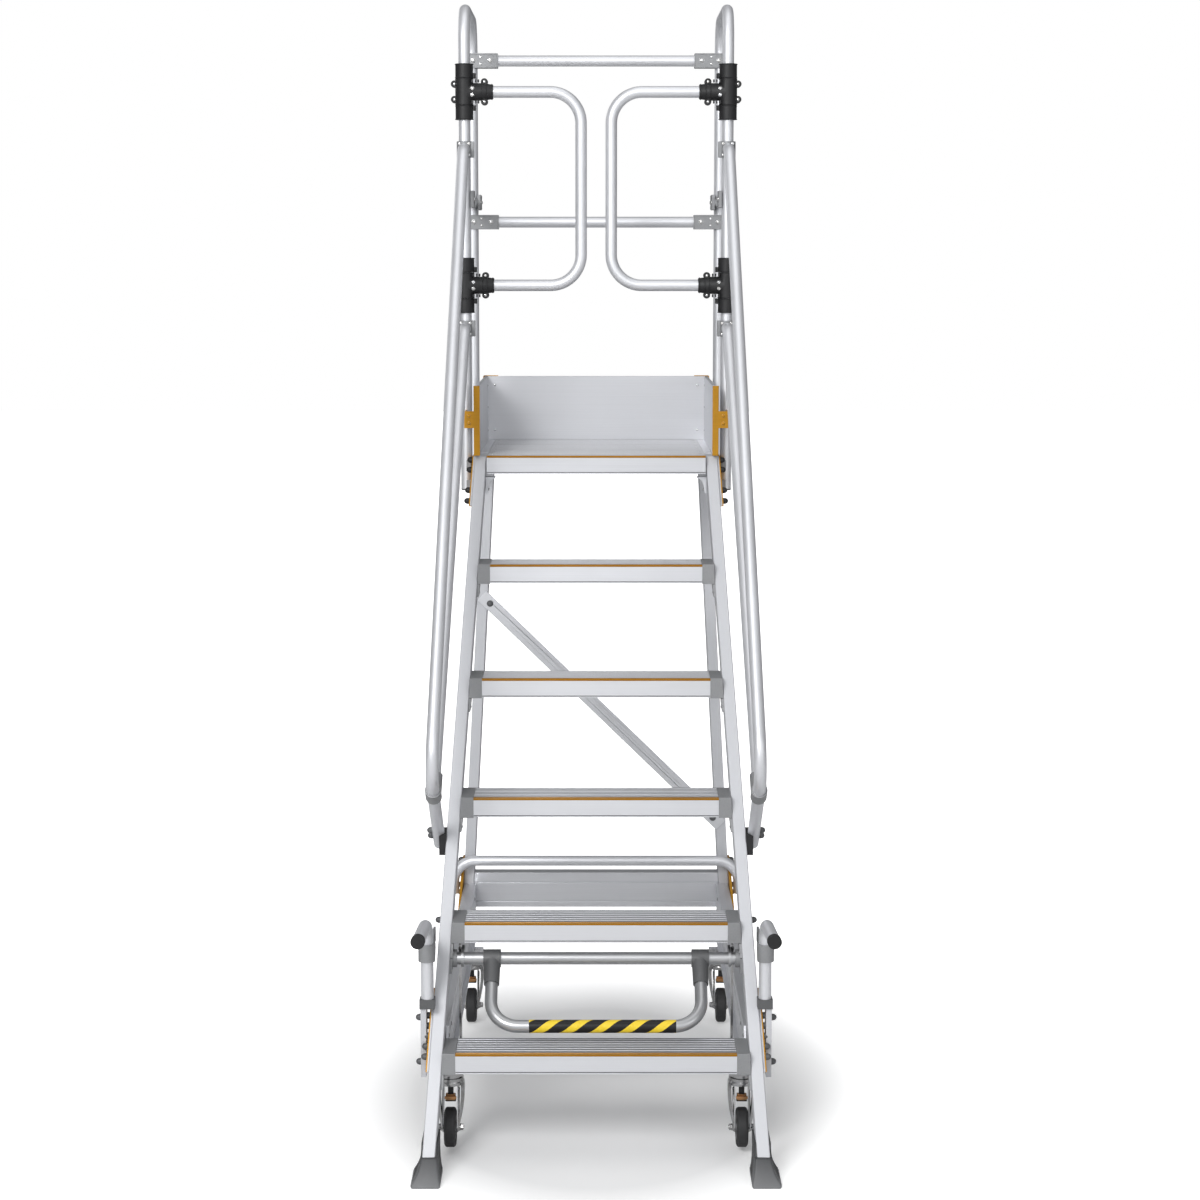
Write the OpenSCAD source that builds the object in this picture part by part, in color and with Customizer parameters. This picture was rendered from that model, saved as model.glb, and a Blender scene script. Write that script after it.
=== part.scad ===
// Mobile ladder stand: five steps and a guarded platform between two splayed side frames, with hand
// rails, two self-closing half gates, and a foot bar that lowers the front castors for rolling.
// Millimetres. X runs across the stand, Y from the climbing side to the back, Z up from the floor.

/* [Steps] */
// Rise from the floor to step 1 and from step to step
rise = 282; // [276:1:288]
// Horizontal distance from one nosing to the next
going = 192; // [188:1:196]
// Depth of a tread from front to back
step_depth = 134; // [126:1:140]
// Height of the front face of a step
step_face = 50; // [44:1:56]
// Width of the cast bracket between a tread's end and the stile
bracket_w = 32; // [28:1:34]

/* [Side frames] */
// Distance from the middle of the stand to a stile's centre at platform height
stile_x = 322; // [318:1:326]
// Lean of each side frame outwards, in degrees
splay = 3.07; // [2.8:0.01:3.3]
// Width of the stile and rear leg sections across the stand
stile_w = 32; // [30:1:34]
// Depth of the stile section, square to its slope
stile_d = 80; // [74:1:84]
// Wall of the aluminium box sections
wall = 3; // [2:0.5:4]
// Front face of the rear legs, behind the platform's nosing
leg_y = 640; // [636:1:646]
// Depth of the rear legs
leg_d = 80; // [70:1:90]

/* [Platform] */
// Back of the platform, behind its nosing
platform_depth = 630; // [624:1:632]
// Distance from the middle to the inner face of a side toe board
toe_board_x = 326.5; // [325:0.5:327]
// Height of the toe boards
toe_board_h = 192; // [150:1:200]

/* [Guard rails] */
// Outside diameter of every rail tube
tube_d = 32; // [32:1:32]
// Wall of the rail tubes
tube_wall = 2; // [1.5:0.5:3]
// Height of the guard rails above the platform
guard_h = 1246; // [1200:1:1260]
// Distance from the middle to the guard rail posts
post_x = 365; // [364:1:367]
// Front posts behind the platform's nosing
front_post_y = 100; // [98:1:104]
// Rear posts behind the platform's nosing
rear_post_y = 560; // [550:1:570]
// Height of the back top rail above the platform
back_rail_h = 1120; // [1080:1:1130]
// Height of the back knee rail above the platform
back_knee_h = 651; // [620:1:660]
// Height of the side knee rails above the platform
side_knee_h = 708; // [700:1:715]

/* [Gates] */
// Height of the gate's top bar above the platform
gate_top_h = 1001; // [990:1:1010]
// Height of the gate's bottom bar above the platform
gate_low_h = 470; // [460:1:480]
// Distance from the middle to the upright bar of a gate
gate_bar_x = 42; // [36:1:50]

/* [Base] */
// Height of the side beams and the back beam
beam_h = 105; // [100:1:110]
// Underside of the side beams above the floor
beam_z = 205; // [203:1:207]
// Inner face of the side beams from the middle
beam_x = 374; // [373:1:375]

/* [Castors] */
// Wheel diameter
wheel_d = 100; // [96:1:102]
// Tyre width
wheel_w = 28; // [24:1:28]
// Distance from the middle to the castor kingpins
castor_x = 368; // [367:1:369]
// Front kingpins in front of the platform's nosing
front_castor_y = 830; // [828:1:832]
// Rear kingpins behind the platform's nosing
rear_castor_y = 252; // [200:1:400]
// Distance from kingpin to axle
trail = 35; // [30:1:38]
// Clearance under the front wheels while the stand is parked
parked_gap = 12; // [10:1:12]

/* [Foot bar] */
// Distance from the middle to the legs of the foot bar
bar_x = 265; // [240:1:280]
// Length of the foot bar from its shaft
bar_reach = 195; // [180:1:200]
// Angle of the foot bar below level while the stand is parked
bar_angle = 44; // [42:1:48]

/* [Hidden] */
$fn = 48;

LEFT = -1;
RIGHT = 1;
step_count = 5;
platform_z = rise * (step_count + 1);
slope = atan(rise / going);
// Running clearance on a radius
play = 0.05;

alu = [0.82, 0.83, 0.85];
cast = [0.55, 0.56, 0.57];
orange = [0.80, 0.50, 0.10];
black = [0.08, 0.08, 0.08];
rubber = [0.25, 0.25, 0.26];
chrome = [0.75, 0.76, 0.78];

// The stiles' front face lies this far behind the nosings at tread height
nosing_set = 30;
stile_run = stile_d / sin(slope);
function stile_front(z) = nosing_set - (platform_z - z) * going / rise;
function stile_back(z) = stile_front(z) + stile_run;
function plane_x(z) = stile_x + (platform_z - z) * tan(splay);
function inner_x(z) = plane_x(z) - stile_w / 2 / cos(splay);
function outer_x(z) = plane_x(z) + stile_w / 2 / cos(splay);
// Height z measured along the leaning side frame, down from the platform
function frame_z(z) = (z - platform_z) / cos(splay);

foot_h = 90;
foot_wall = 9;
foot_front_y = stile_front(0) - foot_wall;
foot_back_gap = 8;
rear_foot_wall = 4;
middle_y = (foot_front_y + leg_y + leg_d + rear_foot_wall) / 2;

strip_depth = 16;
strip_h = 5;
deck_x = stile_x - stile_w / 2 - 1;
frame_low_z = platform_z - step_face;

post_low_z = platform_z - 100;
loop_bend = 90;
gusset_t = 8;

castor_top_z = 184;
head_d = 64;
kingpin_d = 12;
axle_d = 10;
hub_w = 32;
stem_x = beam_x + 19.5;
stem_d = 16;
stem_back = 16;
bush_d = 26;

shaft_y = -750;
shaft_z = 468;
shaft_end_x = 363;
arm_r = 44;
arm_half_angle = 17.5;
arm_x = 337;
pin_d = 8;
pin_y = shaft_y + arm_r * cos(arm_half_angle);
pin_z = shaft_z + arm_r * sin(arm_half_angle);
link_x = 346;

function unit(v) = v / norm(v);

// Hand rails leave clamps on the front posts, turn down, and lean outwards as they go
rail_start_y = front_post_y - 22;
rail_lead = 42.5;
rail_x = post_x + 1;
rail_slope = 57.4;
rail_lean = 1.4;
rail_run = 1834.5;
rail_turn = 90;
stub_turn = 53.1301;
rail_back = 505;
upper_z = platform_z + 844;
mid_z = platform_z + 350;
// Down along the leaning plane of the upper hand rails, and their two directions in space
rail_down = [sin(rail_lean), 0, -cos(rail_lean)];
rail_way = [0, -cos(rail_slope), 0] + rail_down * sin(rail_slope);
back_way = [0, -cos(rail_slope + rail_turn), 0] + rail_down * sin(rail_slope + rail_turn);
rail_tilt = rail_slope - stub_turn;
rail_start = [rail_x, rail_start_y, upper_z];
stub_way = [0, -cos(rail_tilt), 0] + rail_down * sin(rail_tilt);
rail_low = rail_start + stub_way * rail_lead + rail_way * rail_run;
rail_end = rail_low + back_way * rail_back;
// The mid hand rails meet the return legs of the upper ones here
mid_join = rail_low + back_way * 133;
mid_start = [rail_x, rail_start_y, mid_z];
mid_gap = mid_join - mid_start;
mid_lean = atan(mid_gap.x / -mid_gap.z);
mid_down = [sin(mid_lean), 0, -cos(mid_lean)];
mid_aim = atan2(norm([mid_gap.x, mid_gap.z]), -mid_gap.y);
mid_run = sqrt(pow(norm(mid_gap), 2) - pow(rail_lead * sin(stub_turn), 2)) - rail_lead * cos(stub_turn);
mid_tilt = mid_aim - atan2(mid_run * sin(stub_turn), rail_lead + mid_run * cos(stub_turn));
mid_way = [0, -cos(mid_tilt + stub_turn), 0] + mid_down * sin(mid_tilt + stub_turn);

handle_x = 422;
handle_y = -885;
handle_z = 598;
handle_low_z = 392;
handle_top = [handle_x, handle_y, handle_z];
grip_end = [432, -1064, handle_z];
grip_way = unit(grip_end - handle_top);

// Placing and building blocks

module stand() {
    translate([0, -middle_y, 0]) children();
}

module on_side(side) {
    mirror([side < 0 ? 1 : 0, 0, 0]) children();
}

module both_sides() {
    for (side = [LEFT, RIGHT]) on_side(side) children();
}

// Children lie in the right-hand side frame: x across it, y as in the stand, z along its lean
module frame_plane() {
    translate([stile_x, 0, platform_z]) rotate([0, -splay, 0]) children();
}

// A (y, z) outline given thickness along x, from x0 to x0 + t
module yz_plate(x0, t) {
    translate([x0, 0, 0]) rotate([90, 0, 90]) linear_extrude(t) children();
}

// An (x, z) outline given thickness along y, from y0 to y0 + t
module xz_plate(y0, t) {
    translate([0, y0 + t, 0]) rotate([90, 0, 0]) linear_extrude(t) children();
}

module box(low, high) {
    translate(low) cube(high - low);
}

// Children drawn along z from p towards q
module along(p, q) {
    way = q - p;
    translate(p) rotate([0, acos(way.z / norm(way)), atan2(way.y, way.x)]) children();
}

module ring(d, t) {
    difference() {
        circle(d = d);
        circle(d = d - 2 * t);
    }
}

module straight_tube(p, q, d = tube_d, t = tube_wall) {
    along(p, q) linear_extrude(norm(q - p)) ring(d, t);
}

// Rigid placing: local x runs ahead from p, and local y points to the left
module facing(p, ahead, left) {
    up = cross(ahead, left);
    multmatrix([
        [ahead.x, left.x, up.x, p.x],
        [ahead.y, left.y, up.y, p.y],
        [ahead.z, left.z, up.z, p.z],
        [0, 0, 0, 1]
    ]) children();
}

// Whole-number lengths keep neighbouring stretches of a tube flush
function straight_part(leg, lead, tail) = round(leg - lead - tail);

// Tube bent in the local xy plane: legs are the lengths from corner to corner, the first along x,
// and each corner turns left by its angle at its own centreline radius
module flat_tube(legs, turns, bends, d = tube_d, t = tube_wall, i = 0, lead = 0) {
    last = i == len(turns);
    tail = last ? 0 : bends[i] * tan(turns[i] / 2);
    straight = straight_part(legs[i], lead, tail);
    rotate([0, 90, 0]) linear_extrude(straight) ring(d, t);
    if (!last) translate([straight, bends[i], 0]) {
        rotate([0, 0, -90]) rotate_extrude(angle = turns[i]) translate([bends[i], 0]) ring(d, t);
        rotate([0, 0, turns[i]]) translate([0, -bends[i], 0])
            flat_tube(legs, turns, bends, d, t, i + 1, tail);
    }
}

module cylinder_between(p, q, d) {
    along(p, q) cylinder(d = d, h = norm(q - p));
}

// Side frames

module stile_outline(inset, low, high) {
    gap = inset / sin(slope);
    polygon([
        [stile_front(low) + gap, frame_z(low)], [stile_back(low) - gap, frame_z(low)],
        [stile_back(high) - gap, frame_z(high)], [stile_front(high) + gap, frame_z(high)]
    ]);
}

module stile(side) {
    low = 14;
    high = platform_z - 2;
    stand() on_side(side) frame_plane() difference() {
        yz_plate(-stile_w / 2, stile_w) stile_outline(0, low, high);
        yz_plate(-stile_w / 2 + wall, stile_w - 2 * wall) stile_outline(wall, low - 20, high - 4);
    }
}

module stile_left() {
    color(alu) stile(LEFT);
}

module stile_right() {
    color(alu) stile(RIGHT);
}

module leg_outline(inset, low, high) {
    translate([leg_y + inset, frame_z(low)])
        square([leg_d - 2 * inset, frame_z(high) - frame_z(low)]);
}

module rear_leg(side) {
    low = foot_back_gap + 14;
    high = frame_low_z - 1;
    stand() on_side(side) frame_plane() difference() {
        yz_plate(-stile_w / 2, stile_w) leg_outline(0, low, high);
        yz_plate(-stile_w / 2 + wall, stile_w - 2 * wall) leg_outline(wall, low - 20, high - 4);
    }
}

module rear_leg_left() {
    color(alu) rear_leg(LEFT);
}

module rear_leg_right() {
    color(alu) rear_leg(RIGHT);
}

// Steps

function step_z(number) = rise * number;
function step_y(number) = -going * (step_count + 1 - number);
function step_half(number) = inner_x(step_z(number)) - bracket_w;

// Ribbed board with its front strip left out: y from front_gap, top ribs level with z = 0
module ribbed_top(y0, y1, t, rib) {
    pitch = 17;
    count = floor((y1 - y0 - rib) / pitch);
    translate([y0, -t]) square([y1 - y0, t - 1.6]);
    for (i = [0:count]) translate([y0 + i * (y1 - y0 - rib) / count, -t]) square([rib, t]);
}

module step_section() {
    ribbed_top(strip_depth + 0.2, step_depth, 4.5, 9);
    translate([0, -step_face]) square([3, step_face - strip_h - 0.2]);
    translate([0, -step_face]) square([16, 3]);
    translate([0, -strip_h - 3.2]) square([strip_depth + 6, 3]);
    translate([strip_depth + 0.2, -strip_h - 3.2]) square([3, 5]);
    translate([step_depth - 3, -30]) square([3, 30]);
}

module step(number) {
    half = step_half(number);
    color(alu) stand() translate([0, step_y(number), step_z(number)])
        yz_plate(-half, 2 * half) step_section();
}

module step_1() {
    step(1);
}

module step_2() {
    step(2);
}

module step_3() {
    step(3);
}

module step_4() {
    step(4);
}

module step_5() {
    step(5);
}

// Cast bracket that joins a tread to the stile, with an ear running down the stile
module step_bracket(number) {
    z = step_z(number);
    y = step_y(number);
    top = z + 2;
    low = z - step_face - 2;
    half = step_half(number);
    back_top = stile_back(top) - 2;
    back_low = stile_back(low) - 2;
    pocket = 4;
    difference() {
        intersection() {
            xz_plate(y - 1, step_depth) polygon([
                [half, low], [inner_x(low), low], [inner_x(top), top], [half, top]
            ]);
            yz_plate(half - 1, 60) polygon([[y - 1, low], [back_low, low], [back_top, top], [y - 1, top]]);
        }
        box([half + pocket, y + pocket, low - 1], [inner_x(z) - pocket - 1, back_low - pocket, top - pocket - 1]);
    }
    difference() {
        frame_plane() yz_plate(-stile_w / 2 - 6, 6) polygon([
            [stile_front(low) + 6, frame_z(low)], [stile_back(low) - 8, frame_z(low)],
            [stile_front(low) + 24, frame_z(low - 34)], [stile_front(low) - 8, frame_z(low - 34)]
        ]);
        box([0, -2000, low], [600, 2000, low + 50]);
        translate([300, shaft_y, shaft_z]) rotate([0, 90, 0]) cylinder(d = 50, h = 120);
    }
}

module step_brackets() {
    color(cast) stand() both_sides() for (i = [1:step_count]) step_bracket(i);
}

module strip_section() {
    difference() {
        translate([0, -strip_h]) square([strip_depth, strip_h]);
        for (i = [0:2]) translate([4 + i * 4, -0.8]) square([1.6, 1]);
    }
}

module nosing_strips() {
    color(orange) stand() {
        for (i = [1:step_count]) translate([0, step_y(i), step_z(i)])
            yz_plate(-step_half(i), 2 * step_half(i)) strip_section();
        translate([0, 0, platform_z]) yz_plate(-deck_x, 2 * deck_x) strip_section();
    }
}

// Platform

module platform_deck() {
    planks = 3;
    first = strip_depth + 0.2;
    pitch = (platform_depth - first) / planks;
    color(alu) stand() translate([0, 0, platform_z]) yz_plate(-deck_x, 2 * deck_x)
        for (i = [0:planks - 1]) translate([first + i * pitch, 0]) {
            ribbed_top(0, pitch - 0.6, 4.5, 9);
            translate([0, -26]) square([3, 26]);
            translate([pitch - 3.6, -26]) square([3, 26]);
        }
}

module platform_frame() {
    channel_y = stile_back(platform_z) + 1;
    outer = stile_x + stile_w / 2;
    back = leg_y + leg_d;
    color(alu) stand() {
        // Front fascia under the nosing strip
        translate([0, 0, platform_z]) yz_plate(-deck_x, 2 * deck_x) {
            translate([0, -step_face]) square([3, step_face - strip_h - 0.2]);
            translate([0, -step_face]) square([20, 3]);
            translate([0, -strip_h - 3.2]) square([strip_depth, 3]);
        }
        // Side channels
        both_sides() difference() {
            box([deck_x + 1, channel_y, frame_low_z], [outer, back, platform_z]);
            box([deck_x + 1 + wall, channel_y + wall, frame_low_z + wall],
                [outer - wall, back - wall, platform_z - wall]);
        }
        // Bearers under the deck and the closing channel at the back
        for (y = [210, 400]) box([-deck_x, y, frame_low_z], [deck_x, y + 30, platform_z - 26.5]);
        box([-deck_x, platform_depth + 2, frame_low_z], [deck_x, platform_depth + 32, platform_z - 1]);
    }
}

board_t = 4;

module side_board(side) {
    stand() on_side(side) {
        box([toe_board_x, 13, platform_z + 0.2], [toe_board_x + board_t, platform_depth, platform_z + toe_board_h]);
        box([toe_board_x, 13, platform_z + toe_board_h - 4],
            [toe_board_x + 10, platform_depth, platform_z + toe_board_h]);
    }
}

module toe_board_left() {
    color(alu) side_board(LEFT);
}

module toe_board_right() {
    color(alu) side_board(RIGHT);
}

module toe_board_rear() {
    x = toe_board_x + board_t;
    top = platform_z + toe_board_h;
    color(alu) stand() {
        box([-x, platform_depth + 0.2, platform_z + 0.2], [x, platform_depth + board_t, top]);
        box([-x, platform_depth + 0.2, top - 4], [x, platform_depth + 11, top]);
    }
}

module toe_board_trims() {
    top = platform_z + toe_board_h + 2;
    inner = toe_board_x - 3;
    tab_low = platform_z + 77;
    tab_high = platform_z + 124;
    plate = 4;
    color(orange) stand() both_sides() {
        // Front edge trim with its strap to the post
        difference() {
            box([inner, 5, platform_z + 0.2], [inner + 17, 22, top]);
            box([toe_board_x - 0.1, 12.8, platform_z], [toe_board_x + 10.2, 30, top - 1.8]);
        }
        box([inner + 17, 5, tab_low], [post_x + plate / 2, 5 + plate, tab_high]);
        box([post_x - plate / 2, 5, tab_low], [post_x + plate / 2, front_post_y - tube_d / 2, tab_high]);
        // Back corner angle
        box([toe_board_x + 10.2, platform_depth - 40, platform_z + 0.2],
            [toe_board_x + 13.2, platform_depth + 14.2, top]);
        box([toe_board_x - 30, platform_depth + 11.2, platform_z + 0.2],
            [toe_board_x + 13.2, platform_depth + 14.2, top]);
    }
}

// Gusset plates outboard of the side frames

module gusset(points) {
    frame_plane() yz_plate(stile_w / 2, gusset_t)
        polygon([for (p = points) [p.x, frame_z(p.y)]]);
}

module gusset_plates() {
    top = platform_z - 4;
    top_low = platform_z - 137;
    low = beam_z + 28;
    high = beam_z + 190;
    color(orange) stand() both_sides() {
        difference() {
            gusset([[stile_front(top) + 10, top], [stile_front(top_low) + 10, top_low],
                [stile_front(top_low) + 80, top_low], [150, top_low + 45], [150, top]]);
            translate([post_x, front_post_y, post_low_z - 20]) cylinder(d = tube_d + 4, h = 140);
        }
        gusset([[stile_front(high) + 10, high], [stile_front(low) + 10, low],
            [stile_front(low) + 190, low], [stile_front(low) + 300, low + 40],
            [stile_front(high) + 85, high]]);
        gusset([[leg_y - 130, low], [leg_y + 72, low], [leg_y + 72, low + 150], [leg_y + 10, low + 150],
            [leg_y - 130, low + 40]]);
    }
}

module diagonal_brace() {
    // Flat bar behind the legs' front faces, from high on the left to low on the right
    high = [-(inner_x(1190) - 8), 1190];
    low = [inner_x(520) - 8, 520];
    way = unit(low - high);
    side = [-way.y, way.x] * 20;
    color(alu) stand() {
        xz_plate(leg_y - 5, 4.5) difference() {
            polygon([high - way * 34 + side, low + way * 34 + side, low + way * 34 - side, high - way * 34 - side]);
            for (p = [high, low]) translate(p) circle(d = 9);
        }
    }
}

// Base

module base_beam(side) {
    depth = 36;
    front = 1;
    high = beam_z + beam_h;
    skin = 3;
    back_y = leg_y - 0.3;
    start_y = stile_back(beam_z) + front;
    stand() on_side(side) difference() {
        union() {
            difference() {
                box([beam_x + skin, start_y, beam_z], [beam_x + depth, back_y, high]);
                box([beam_x + 2 * skin, start_y - 1, beam_z + skin], [beam_x + depth - skin, back_y + 1, high - skin]);
            }
            // Inner face in three bands with grooves between
            for (band = [[0, 24], [28, 74], [78, beam_h]])
                box([beam_x, start_y, beam_z + band[0]], [beam_x + skin, back_y, beam_z + band[1]]);
            box([beam_x - 13, start_y, beam_z], [beam_x, back_y, beam_z + 4]);
        }
        // Front end cut to the stile's slope
        yz_plate(beam_x - 20, depth + 40) polygon([
            [stile_back(beam_z - 40) + front, beam_z - 40], [stile_back(high + 40) + front, high + 40],
            [start_y - 100, high + 40], [start_y - 100, beam_z - 40]
        ]);
        translate([stem_x, stem_back - front_castor_y, beam_z - 1]) cylinder(d = bush_d, h = 20);
    }
}

module base_beam_left() {
    color(alu) base_beam(LEFT);
}

module base_beam_right() {
    color(alu) base_beam(RIGHT);
}

module back_beam() {
    low = beam_z + 28;
    high = low + beam_h + 5;
    y = leg_y + 8;
    far = 450;
    color(alu) stand() difference() {
        union() {
            box([-far, y + 3, low], [far, y + 6, high]);
            for (band = [[0, 17], [20, 77], [80, high - low]])
                box([-far, y, low + band[0]], [far, y + 3, low + band[1]]);
            box([-far, y + 6, low], [far, y + 44, low + 3]);
            box([-far, y + 6, high - 3], [far, y + 44, high]);
        }
        // Ends cut to the legs' lean
        both_sides() xz_plate(y - 1, 60) polygon([
            [inner_x(low - 20) - 0.3, low - 20], [far + 10, low - 20],
            [far + 10, high + 20], [inner_x(high + 20) - 0.3, high + 20]
        ]);
    }
}

module back_handle() {
    x = outer_x(300) + gusset_t + tube_d / 2 + 2.6;
    y = leg_y - 38;
    z = 392;
    low = 290;
    color(alu) stand() facing([-x, y, low], [0, 0, 1], [1, 0, 0])
        flat_tube([z - low, 2 * x, z - low], [90, 90], [66, 66]);
}

// Guard rails

module guard_loop(side) {
    top = platform_z + guard_h - tube_d / 2;
    rise_of_post = top - post_low_z;
    stand() on_side(side) facing([post_x, front_post_y, post_low_z], [0, 0, 1], [0, 1, 0])
        flat_tube([rise_of_post, rear_post_y - front_post_y, rise_of_post], [90, 90], [loop_bend, loop_bend]);
}

module guard_loop_left() {
    color(alu) guard_loop(LEFT);
}

module guard_loop_right() {
    color(alu) guard_loop(RIGHT);
}

module guard_rails() {
    x = post_x - tube_d / 2 - 0.5;
    color(alu) stand() {
        for (h = [back_rail_h, back_knee_h])
            straight_tube([-x, rear_post_y, platform_z + h], [x, rear_post_y, platform_z + h]);
        both_sides() straight_tube([post_x, front_post_y + tube_d / 2 + 0.5, platform_z + side_knee_h],
            [post_x, rear_post_y - tube_d / 2 - 0.5, platform_z + side_knee_h]);
    }
}

// Ring around a post from z0 up, with an inboard ear
module post_clamp(z0, h) {
    difference() {
        union() {
            translate([post_x, front_post_y, z0]) cylinder(d = tube_d + 12, h = h);
            box([post_x - 26, front_post_y - 13, z0], [post_x - 14, front_post_y + 13, z0 + h]);
        }
        translate([post_x, front_post_y, z0 - 1]) cylinder(d = tube_d, h = h + 2);
    }
}

module rail_clamps() {
    plate = 4;
    r = tube_d / 2;
    color(cast) stand() both_sides() {
        // Flat connector plates in front of and behind the back rails
        for (h = [back_rail_h, back_knee_h], y = [rear_post_y - r - plate, rear_post_y + r])
            box([post_x - 76, y, platform_z + h - 21], [post_x + 6, y + plate, platform_z + h + 21]);
        // Side knee rail: plate inboard of the front post and end block at the rear post
        box([post_x - r - 9, front_post_y - r, platform_z + side_knee_h - 23],
            [post_x - r, front_post_y + 60, platform_z + side_knee_h + 23]);
        box([post_x - r - 9, rear_post_y - 60, platform_z + side_knee_h - 22],
            [post_x - r, rear_post_y + r - 1, platform_z + side_knee_h + 22]);
        // Hand rail clamps on the front post
        post_clamp(upper_z - 22, 44);
        post_clamp(mid_z - 22, 44);
        // Saddles between the posts and the frame
        for (y = [front_post_y, rear_post_y], z = [platform_z - 30, post_low_z + 14]) difference() {
            box([stile_x + stile_w / 2 + (y == front_post_y ? gusset_t + 6 : 0.3), y - 20, z - 12],
                [post_x, y + 20, z + 12]);
            translate([post_x, y, z - 13]) cylinder(d = tube_d, h = 26);
        }
    }
}

// Hand rails

module handrail(side) {
    stand() on_side(side) facing(rail_start, [0, -1, 0], rail_down) rotate([0, 0, rail_tilt])
        flat_tube([rail_lead, rail_run, rail_back], [stub_turn, rail_turn], [45, 100]);
}

module handrail_left() {
    color(alu) handrail(LEFT);
}

module handrail_right() {
    color(alu) handrail(RIGHT);
}

module mid_handrails() {
    color(alu) stand() both_sides() facing(mid_start, [0, -1, 0], mid_down) rotate([0, 0, mid_tilt])
        flat_tube([rail_lead, mid_run - tube_d / 2 - 1], [stub_turn], [45]);
}

// Collars that join the mid hand rails, stile spacers, and the side handles' sockets and collars
module joint_castings() {
    color(cast) stand() both_sides() {
        difference() {
            union() {
                cylinder_between(mid_join - back_way * 24, mid_join + back_way * 24, tube_d + 9);
                cylinder_between(mid_join, mid_join - mid_way * 52, tube_d + 9);
            }
            cylinder_between(mid_join - back_way * 30, mid_join + back_way * 30, tube_d);
            cylinder_between(mid_join - mid_way * (tube_d / 2 + 1), mid_join - mid_way * 60, tube_d);
        }
        // Socket, outboard box and collar of a side handle
        difference() {
            box([handle_x - 19, handle_y - 18, handle_low_z - 12], [handle_x + 19, handle_y + 17, handle_low_z + 12]);
            translate([handle_x, handle_y, handle_low_z]) cylinder(d = tube_d, h = 20);
        }
        difference() {
            box([handle_x + 3, handle_y - 12, beam_z - 2], [handle_x + 17, handle_y + 40, handle_low_z - 12]);
            frame_plane() yz_plate(0, stile_w / 2 + gusset_t) square([4000, 4000], center = true);
        }
        difference() {
            union() {
                translate([handle_x, handle_y, 500]) cylinder(d = tube_d + 12, h = 44);
                box([handle_x - 11, handle_y, 504], [handle_x - 5, stile_front(520) + 60, 540]);
            }
            translate([handle_x, handle_y, 499]) cylinder(d = tube_d, h = 46);
            frame_plane() yz_plate(-stile_w, stile_w * 1.5) square([4000, 4000], center = true);
        }
    }
    // Dark spacers between the hand rails' ends and the stiles
    color(black) stand() both_sides() difference() {
        box([380, -622, 706], [rail_end.x - 4, -534, 760]);
        cylinder_between(rail_low, rail_end + back_way * 60, tube_d);
        frame_plane() yz_plate(-stile_w, stile_w * 1.5) square([4000, 4000], center = true);
    }
}

// Feet

module front_foot() {
    top_x = plane_x(foot_h);
    grip = 21;
    difference() {
        intersection() {
            xz_plate(-1200, 300) polygon([
                [379, 0], [451, 0], [451, 7], [top_x + grip + 6, 45], [top_x + grip, foot_h],
                [top_x - grip, foot_h], [top_x - grip - 10, 45], [379, 7]
            ]);
            yz_plate(370, 90) polygon([
                [foot_front_y, 0], [stile_back(0) + foot_wall, 0],
                [stile_back(foot_h) + foot_wall, foot_h], [stile_front(foot_h) - foot_wall, foot_h]
            ]);
        }
        frame_plane() yz_plate(-stile_w / 2, stile_w) stile_outline(0, 14, foot_h + 40);
    }
}

module rear_foot() {
    frame_plane() difference() {
        yz_plate(-stile_w / 2 - rear_foot_wall, stile_w + 2 * rear_foot_wall)
            leg_outline(-rear_foot_wall, foot_back_gap + 1, 70);
        yz_plate(-stile_w / 2, stile_w) leg_outline(0, foot_back_gap + 14, 90);
    }
}

module rubber_feet() {
    color(rubber) stand() both_sides() {
        front_foot();
        rear_foot();
    }
}

// Side handles

module side_handles() {
    color(alu) stand() both_sides() facing([handle_x, handle_y, handle_low_z], [0, 0, 1], grip_way)
        flat_tube([handle_z - handle_low_z, norm(grip_end - handle_top)], [90], [40]);
}

module handle_caps() {
    color(black) stand() both_sides() difference() {
        cylinder_between(grip_end - grip_way * 12, grip_end + grip_way * 4, tube_d + 3);
        cylinder_between(grip_end - grip_way * 13, grip_end, tube_d);
    }
}

// Domed cap over a bolt head, standing on the plane x = 0
module cap_bolt() {
    rotate([0, 90, 0]) {
        cylinder(d = 17, h = 6);
        translate([0, 0, 6]) intersection() {
            sphere(d = 16);
            cylinder(d = 16, h = 8);
        }
    }
}

module cap_bolts() {
    color(black) stand() both_sides() {
        // Through the gussets, along the stile
        for (z = [1676, 1650, 1596, 1568]) at_gusset(stile_front(z) + 24, z);
        for (z = [372, 350, 328, 306, 284, 262]) at_gusset(stile_front(z) + 24, z);
        for (z = [372, 335, 300]) at_gusset(leg_y + 24, z);
        for (z = [372, 335, 268]) at_gusset(leg_y + 56, z);
        // Through the side handle box
        for (z = [235, 350]) translate([handle_x + 17, handle_y + 16, z]) cap_bolt();
        // Through the hand rail's end
        for (s = [0.80, 0.88]) translate(rail_low + back_way * rail_back * s + [tube_d / 2 - 1, 0, 0]) cap_bolt();
        // Step bolt on the stile's outer face
        frame_plane() translate([stile_w / 2, stile_front(553) + 50, frame_z(553)]) cap_bolt();
    }
}

module at_gusset(y, z) {
    frame_plane() translate([stile_w / 2 + gusset_t, y, frame_z(z)]) cap_bolt();
}

// Gates and their hinges

hub_half = 36;
sleeve_h = 40;

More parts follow.
